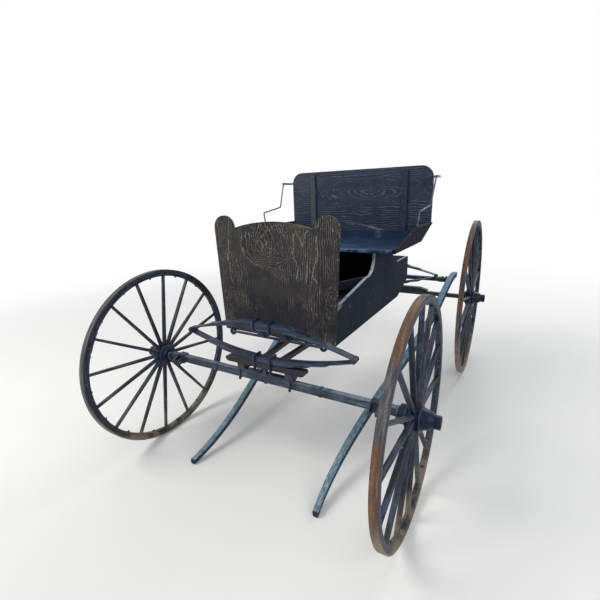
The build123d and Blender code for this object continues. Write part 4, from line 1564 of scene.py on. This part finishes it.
    def build_splinters(self) -> None:
        """Frayed veneer at the front end of each side's cut edge."""
        chance = random.Random(self.seed)
        veneer = Fittings("side_splinters", "wagon")
        side = Extent.of("side_left")
        for sign in BOTH_WAYS:
            for _ in range(self.splinters):
                share = chance.random() ** self.torn_bunching
                y = side.low.y + self.torn_start + share * self.torn_length
                aside = chance.uniform(-0.5, 0.5) * side.size.x * self.torn_width
                sill = self.sill_z + share * self.sill_rise
                z = sill - chance.uniform(*self.splinter_sink)
                foot = Vector((sign * (side.middle.x + aside), y, z))
                lean = Vector([chance.uniform(*limits) for limits in self.splinter_lean])
                lean.x *= sign
                length = chance.uniform(*self.splinter_length)
                tip = foot + lean.normalized() * length * (1.1 - share)
                bend = Vector((sign * chance.uniform(*self.splinter_bend), 0, 0))
                points = (foot, (foot + tip) / 2 + bend, tip)
                radius = chance.uniform(*self.splinter_radius)
                veneer.bar(points, radius, self.splinter_sides, self.splinter_tip)
        veneer.done(BareBoard(Axis.Z, PALETTE.splinter))


@dataclass
class Seat:
    """Painted seat: board, back, battens, ends and iron rails."""

    screw: float = 0.005
    back_screw: float = 1.2
    iron_screw: float = 0.85
    batten_inset: float = 0.018
    batten_screws: tuple[float, ...] = (0.06, 0.37, 0.67, 0.94)
    rail_screws: int = 5
    rail_screw_margin: float = 0.06
    rail_screw_drop: float = 0.02
    iron_screws: Pair = (0.010, 0.027)
    iron_screw_drop: float = 0.006
    end_screws: Place = (0.22, 0.55, 0.86)
    end_screw_out: float = 0.0195
    end_screw_up: float = 0.001

    back_finish: ClassVar[FiguredPly] = FiguredPly(
        Axis.X,
        Axis.Z,
        PALETTE.seat_back,
        pitch=0.0135,
        rough=(0.35, 0.6),
        gloss=0.22,
        depth=0.0010,
        line_share=0.22,
        ripple=1.1,
        jag=0.3,
        broken=(0.24, 0.56),
        strength=0.6,
        knots=(
            Knot(1.345, -0.2, 0.06, 3.0, 2.2, 6.0, 1.5),
            Knot(1.348, 0.1, 0.075, 4.6, 5.0, 8.0, 1.1),
            Knot(1.352, 0.66, 0.08, 3.0, 4.2, 8.0, 0.4),
        ),
        pale_lines=(
            PaleLine((1.15, -0.08), (1.125, 0.08), 0.008, 0.4),
            PaleLine((1.125, 0.08), (1.1, 0.19), 0.009, 0.7),
            PaleLine((1.1, 0.19), (1.088, 0.36), 0.005, 0.6),
        ),
        blotches=(
            Blotch(1.12, 0.1, 0.13, 0.6, shade(20, 36, 56), 0.8, 0.35),
            Blotch(1.42, -0.42, 0.09, 0.16, shade(64, 66, 76), 0.5, 0.4),
        ),
    )
    board_finish: ClassVar[FiguredPly] = FiguredPly(
        Axis.X,
        Axis.Y,
        PALETTE.seat_board,
        pitch=0.021,
        rough=(0.3, 0.55),
        gloss=0.25,
        depth=0.0007,
        line_share=0.18,
        jag=0.2,
        strength=0.6,
        blotches=(Blotch(-0.18, 0.1, 0.04, 0.09, shade(84, 100, 118), 0.35, 0.2),),
        pale_lines=(
            PaleLine((-0.288, 0.02), (-0.284, 0.34), 0.006, 0.6),
            PaleLine((-0.31, 0.1), (-0.306, 0.44), 0.004, 0.45),
        ),
    )
    batten_finish: ClassVar[FiguredPly] = FiguredPly(
        Axis.Z,
        Axis.X,
        PALETTE.batten,
        pitch=0.009,
        rough=(0.4, 0.7),
        gloss=0.2,
        depth=0.0007,
        strength=0.6,
        # The pale patch on the batten at x -0.327 is painted light on a lit batten; the other
        # batten keeps the darker ground.
        blotches=(Blotch(-0.327, 1.32, 0.06, 0.3, shade(74, 75, 81), 0.8, 0.2),),
    )

    def dress(self) -> None:
        """Give the painted boards their gloss and grain."""
        self.back_finish.dress("seat_back")
        self.board_finish.dress("seat_board", "back_rail")
        # The seat ends' near-black coat is painted shade.
        painted = WornPaint(Axis.Y, PALETTE.seat_end, 0.1, 0.1, rough=(0.7, 0.95), gloss=0.06)
        painted.dress("seat_end_left", "seat_end_right")
        self.batten_finish.dress("back_battens")
        WornIron(PALETTE.seat_rail).dress("seat_rail_left", "seat_rail_right")

    def build(self) -> None:
        """Drive the screws of the battens, back rail, ends and rails."""
        fittings = Fittings("seat_screws", "wagon")
        names = ("seat_back", "back_battens", "back_rail", "seat_board")
        back, battens, rail, board = map(Extent.of, names)
        for sign in BOTH_WAYS:
            x = sign * (battens.high.x - self.batten_inset)
            for share in self.batten_screws:
                z = battens.low.z + battens.size.z * share
                fittings.dome(Vector((x, battens.low.y, z)), -Y_AXIS, self.screw)
                fittings.dome(Vector((x, back.high.y, z)), Y_AXIS, self.screw * self.back_screw)
        run = rail.size.x - 2 * self.rail_screw_margin
        for index in range(self.rail_screws):
            x = rail.low.x + self.rail_screw_margin + run * index / (self.rail_screws - 1)
            z = rail.high.z - self.rail_screw_drop
            fittings.dome(Vector((x, rail.low.y, z)), -Y_AXIS, self.screw)
            fittings.dome(Vector((x, back.high.y, board.middle.z)), Y_AXIS, self.screw)
        for name, sign in (("left", 1.0), ("right", -1.0)):
            iron, end = Extent.of(f"seat_rail_{name}"), Extent.of(f"seat_end_{name}")
            for out in self.iron_screws:
                x = back.high.x * sign + sign * out
                foot = Vector((x, iron.high.y, iron.high.z - self.iron_screw_drop))
                fittings.dome(foot, Y_AXIS, self.screw * self.iron_screw)
            for share in self.end_screws:
                x = sign * (board.high.x + self.end_screw_out)
                y = end.low.y + end.size.y * share
                foot = Vector((x, y, board.middle.z + self.end_screw_up))
                fittings.dome(foot, X_AXIS * sign, self.screw)
        fittings.done()


@dataclass
class Shafts:
    """Pair of bent shafts laid under the wagon, with crossbar and heel irons."""

    nut: float = 0.013
    nut_sink: float = 0.0025
    nut_offsets: Pair = (-0.045, -0.012)
    strap: Place = (0.09, 0.022, 0.003)
    strap_inset: float = 0.03
    strap_lift: float = 0.0012
    heel_bolt: float = 0.006
    heel_bolt_sink: float = 0.0002
    heel_bolt_runs: Pair = (0.010, 0.028)
    heel_half_width: float = 0.0125

    def dress(self) -> None:
        """Blue paint on the wood, bleached, with painted sunlight on top and painted shade below,
        and rust on the irons.
        """
        FadedShaft().dress("shaft_left", "shaft_right", "shaft_crossbar")
        RUSTY_IRON_FINISH.dress("shaft_heel_irons")

    def build(self) -> None:
        """Corner irons of the crossbar and bolts of the heel irons."""
        fittings = Fittings("shaft_fittings", "wagon")
        bar, irons = Extent.of("shaft_crossbar"), Extent.of("shaft_heel_irons")
        for sign in BOTH_WAYS:
            meet_x, meet_y = sign * bar.high.x, bar.middle.y
            for face in BOTH_WAYS:
                level = bar.middle.z + face * (bar.size.z / 2 + self.strap_lift)
                middle = Vector((meet_x - sign * self.strap_inset, meet_y, level))
                fittings.plate(middle, X_AXIS, Z_AXIS * face, self.strap)
            for offset in self.nut_offsets:
                foot = Vector((meet_x + sign * offset, meet_y, bar.high.z + self.nut_sink))
                fittings.nut(foot, Z_AXIS, self.nut)
            for run in self.heel_bolt_runs:
                x = sign * (irons.high.x - self.heel_half_width)
                foot = Vector((x, irons.low.y + run, irons.high.z - self.heel_bolt_sink))
                fittings.dome(foot, Z_AXIS, self.heel_bolt)
        fittings.done()


# Studio -----------------------------------------------------------------------------------------


@dataclass(frozen=True)
class PhotoCamera:
    """Camera at the photograph's place and angle."""

    place: Place = (0.9986, -2.2253, 1.3273)
    heading: float = 0.530942
    tilt: float = 0.264666
    roll: float = -0.0305264
    lens: float = 22.726
    sensor: float = 36.0
    reach: float = 200.0

    def build(self) -> None:
        """Add the camera and make it the scene's own."""
        level = Vector((-math.sin(self.heading), math.cos(self.heading), 0))
        aside = Vector((math.cos(self.heading), math.sin(self.heading), 0))
        view = level * math.cos(self.tilt) - Z_AXIS * math.sin(self.tilt)
        down = view.cross(aside)
        image_x = aside * math.cos(self.roll) - down * math.sin(self.roll)
        image_y = aside * math.sin(self.roll) + down * math.cos(self.roll)
        data = bpy.data.cameras.new("photo_camera")
        data.sensor_width = self.sensor
        data.lens = self.lens
        data.clip_end = self.reach
        camera = bpy.data.objects.new("photo_camera", data)
        turn = Matrix((image_x, -image_y, -view)).transposed().to_4x4()
        camera.matrix_world = Matrix.Translation(self.place) @ turn
        bpy.context.scene.collection.objects.link(camera)
        bpy.context.scene.camera = camera


@dataclass(frozen=True)
class Lamp:
    """A soft round lamp that shines at the middle of the wagon."""

    name: str
    place: Place
    size: float
    power: float
    colour: Colour
    aim: ClassVar[Place] = (0, 0, 0.6)

    def build(self) -> None:
        """Hang the lamp and point it."""
        light = bpy.data.lights.new(self.name, "AREA")
        light.shape = "DISK"
        light.size = self.size
        light.energy = self.power
        light.color = self.colour
        lamp = bpy.data.objects.new(self.name, light)
        lamp.location = self.place
        aim = Vector(self.aim) - Vector(self.place)
        lamp.rotation_euler = aim.to_track_quat("-Z", "Y").to_euler()
        bpy.context.scene.collection.objects.link(lamp)


@dataclass
class Studio:
    """Plain pale floor, soft lamps and a white surround."""

    floor_half: float = 30.0
    floor_fade: Pair = (1.9, 6.0)
    floor_colour: Colour = (0.80, 0.79, 0.77)
    floor_patch: float = 0.985
    surround: Colour = (0.92, 0.96, 1.0)
    surround_strength: float = 0.55
    lamps: tuple[Lamp, ...] = (
        Lamp("key_lamp", (-3.2, -3.6, 4.6), 3.0, 210.0, (1.0, 0.98, 0.95)),
        Lamp("fill_lamp", (4.4, -2.6, 3.0), 3.4, 90.0, (0.95, 0.98, 1.0)),
        Lamp("back_lamp", (1.0, 4.6, 4.2), 3.4, 120.0, WHITE),
    )

    def build(self) -> None:
        """Make the floor, the surround and the lamps."""
        self.build_floor()
        self.build_surround()
        for lamp in self.lamps:
            lamp.build()

    def build_floor(self) -> None:
        """Make a wide floor that keeps the wagon's shadow."""
        half = self.floor_half
        corners = ((-half, -half, 0), (half, -half, 0), (half, half, 0), (-half, half, 0))
        data = bpy.data.meshes.new("studio_floor")
        data.from_pydata(corners, (), ((0, 1, 2, 3),))
        floor = bpy.data.objects.new("studio_floor", data)
        bpy.context.scene.collection.objects.link(floor)
        graph = Graph("studio_floor")
        cloud = graph.noise(graph.place, 1.5, 3.0)
        patch = tuple(share * self.floor_patch for share in self.floor_colour)
        tone = graph.mix(cloud.step(0.3, 0.7), self.floor_colour, patch)
        graph.close(tone, 0.9, cloud, 0.0001, 0.1)
        self.fade_floor(graph)
        data.materials.append(graph.material)

    def fade_floor(self, graph: Graph) -> None:
        """Let the floor turn white to the camera well away from the wagon.

        Args:
            graph: the floor's nodes.
        """
        away = graph.length(graph.place).step(*self.floor_fade)
        path = graph.add("LightPath", {})
        white = graph.add("Emission", {"Color": WHITE})
        share = away * Field(graph, path.outputs["Is Camera Ray"])
        shaders = {1: graph.shader.outputs["BSDF"], 2: white.outputs[0]}
        blend = graph.add("MixShader", {0: share, **shaders})
        graph.feed(graph.output.inputs["Surface"], blend.outputs[0])

    def build_surround(self) -> None:
        """White to the camera and in reflections, softer as a light."""
        world = bpy.data.worlds.new("surround")
        world.use_nodes = True
        bpy.context.scene.world = world
        nodes = NodeTree(world.node_tree)
        rays = nodes.add("LightPath", {}).outputs
        direct = {0: rays["Is Camera Ray"], 1: rays["Is Glossy Ray"]}
        seen = nodes.add("Math", direct, operation="MAXIMUM")
        with_glass = {0: seen.outputs[0], 1: rays["Is Transmission Ray"]}
        through = nodes.add("Math", with_glass, operation="MAXIMUM")
        soft = nodes.add("Background", {"Color": self.surround, "Strength": self.surround_strength})
        white = nodes.add("Background", {"Color": WHITE})
        shares = {0: through.outputs[0], 1: soft.outputs[0], 2: white.outputs[0]}
        blend = nodes.add("MixShader", shares)
        nodes.add("OutputWorld", {"Surface": blend.outputs[0]})


BODY_BOARDS = ("dash", "side_left", "side_right", "tailboard", "rear_deck", "heel_board")
SEAT_BOARDS = ("seat_back", "seat_end_left", "seat_end_right", "back_battens", "back_rail")
BODY_EASE = 0.0012
SEAT_EASE = 0.0015
WELD_DISTANCE = 0.00001
SHARP_EDGE = math.radians(40)


def ease_edges(names: Iterable[str], width: float) -> None:
    """Round the sharp edges of the named boards a little, as planed boards are.

    Args:
        names: the solids to ease.
        width: width of the rounding.
    """
    for name in names:
        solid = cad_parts[name]
        weld = solid.modifiers.new("join_corners", "WELD")
        weld.merge_threshold = WELD_DISTANCE
        bevel = solid.modifiers.new("eased_edges", "BEVEL")
        bevel.width = width
        bevel.segments = 2
        bevel.limit_method = "ANGLE"
        bevel.angle_limit = SHARP_EDGE


def main() -> None:
    """Dress the wagon, build its fittings and set up the studio."""
    logging.basicConfig(level=logging.INFO, format="%(name)s: %(message)s")
    bpy.context.scene.view_settings.view_transform = "Standard"
    PhotoCamera().build()
    Studio().build()
    wheels = (
        Wheel("front_left", 0.95, (GreyZone.degrees(-55, 13), GreyZone.degrees(3, 7))),
        Wheel("front_right", 0.12),
        Wheel("rear_left", 0.5),
        Wheel("rear_right", 0.5),
    )
    for assembly in (*wheels, RunningGear(), Body(), Seat(), Shafts()):
        assembly.dress()
        assembly.build()
        log.info("%s is dressed", type(assembly).__name__)
    ease_edges(BODY_BOARDS, BODY_EASE)
    ease_edges(SEAT_BOARDS, SEAT_EASE)


if __name__ == "__main__":
    main()
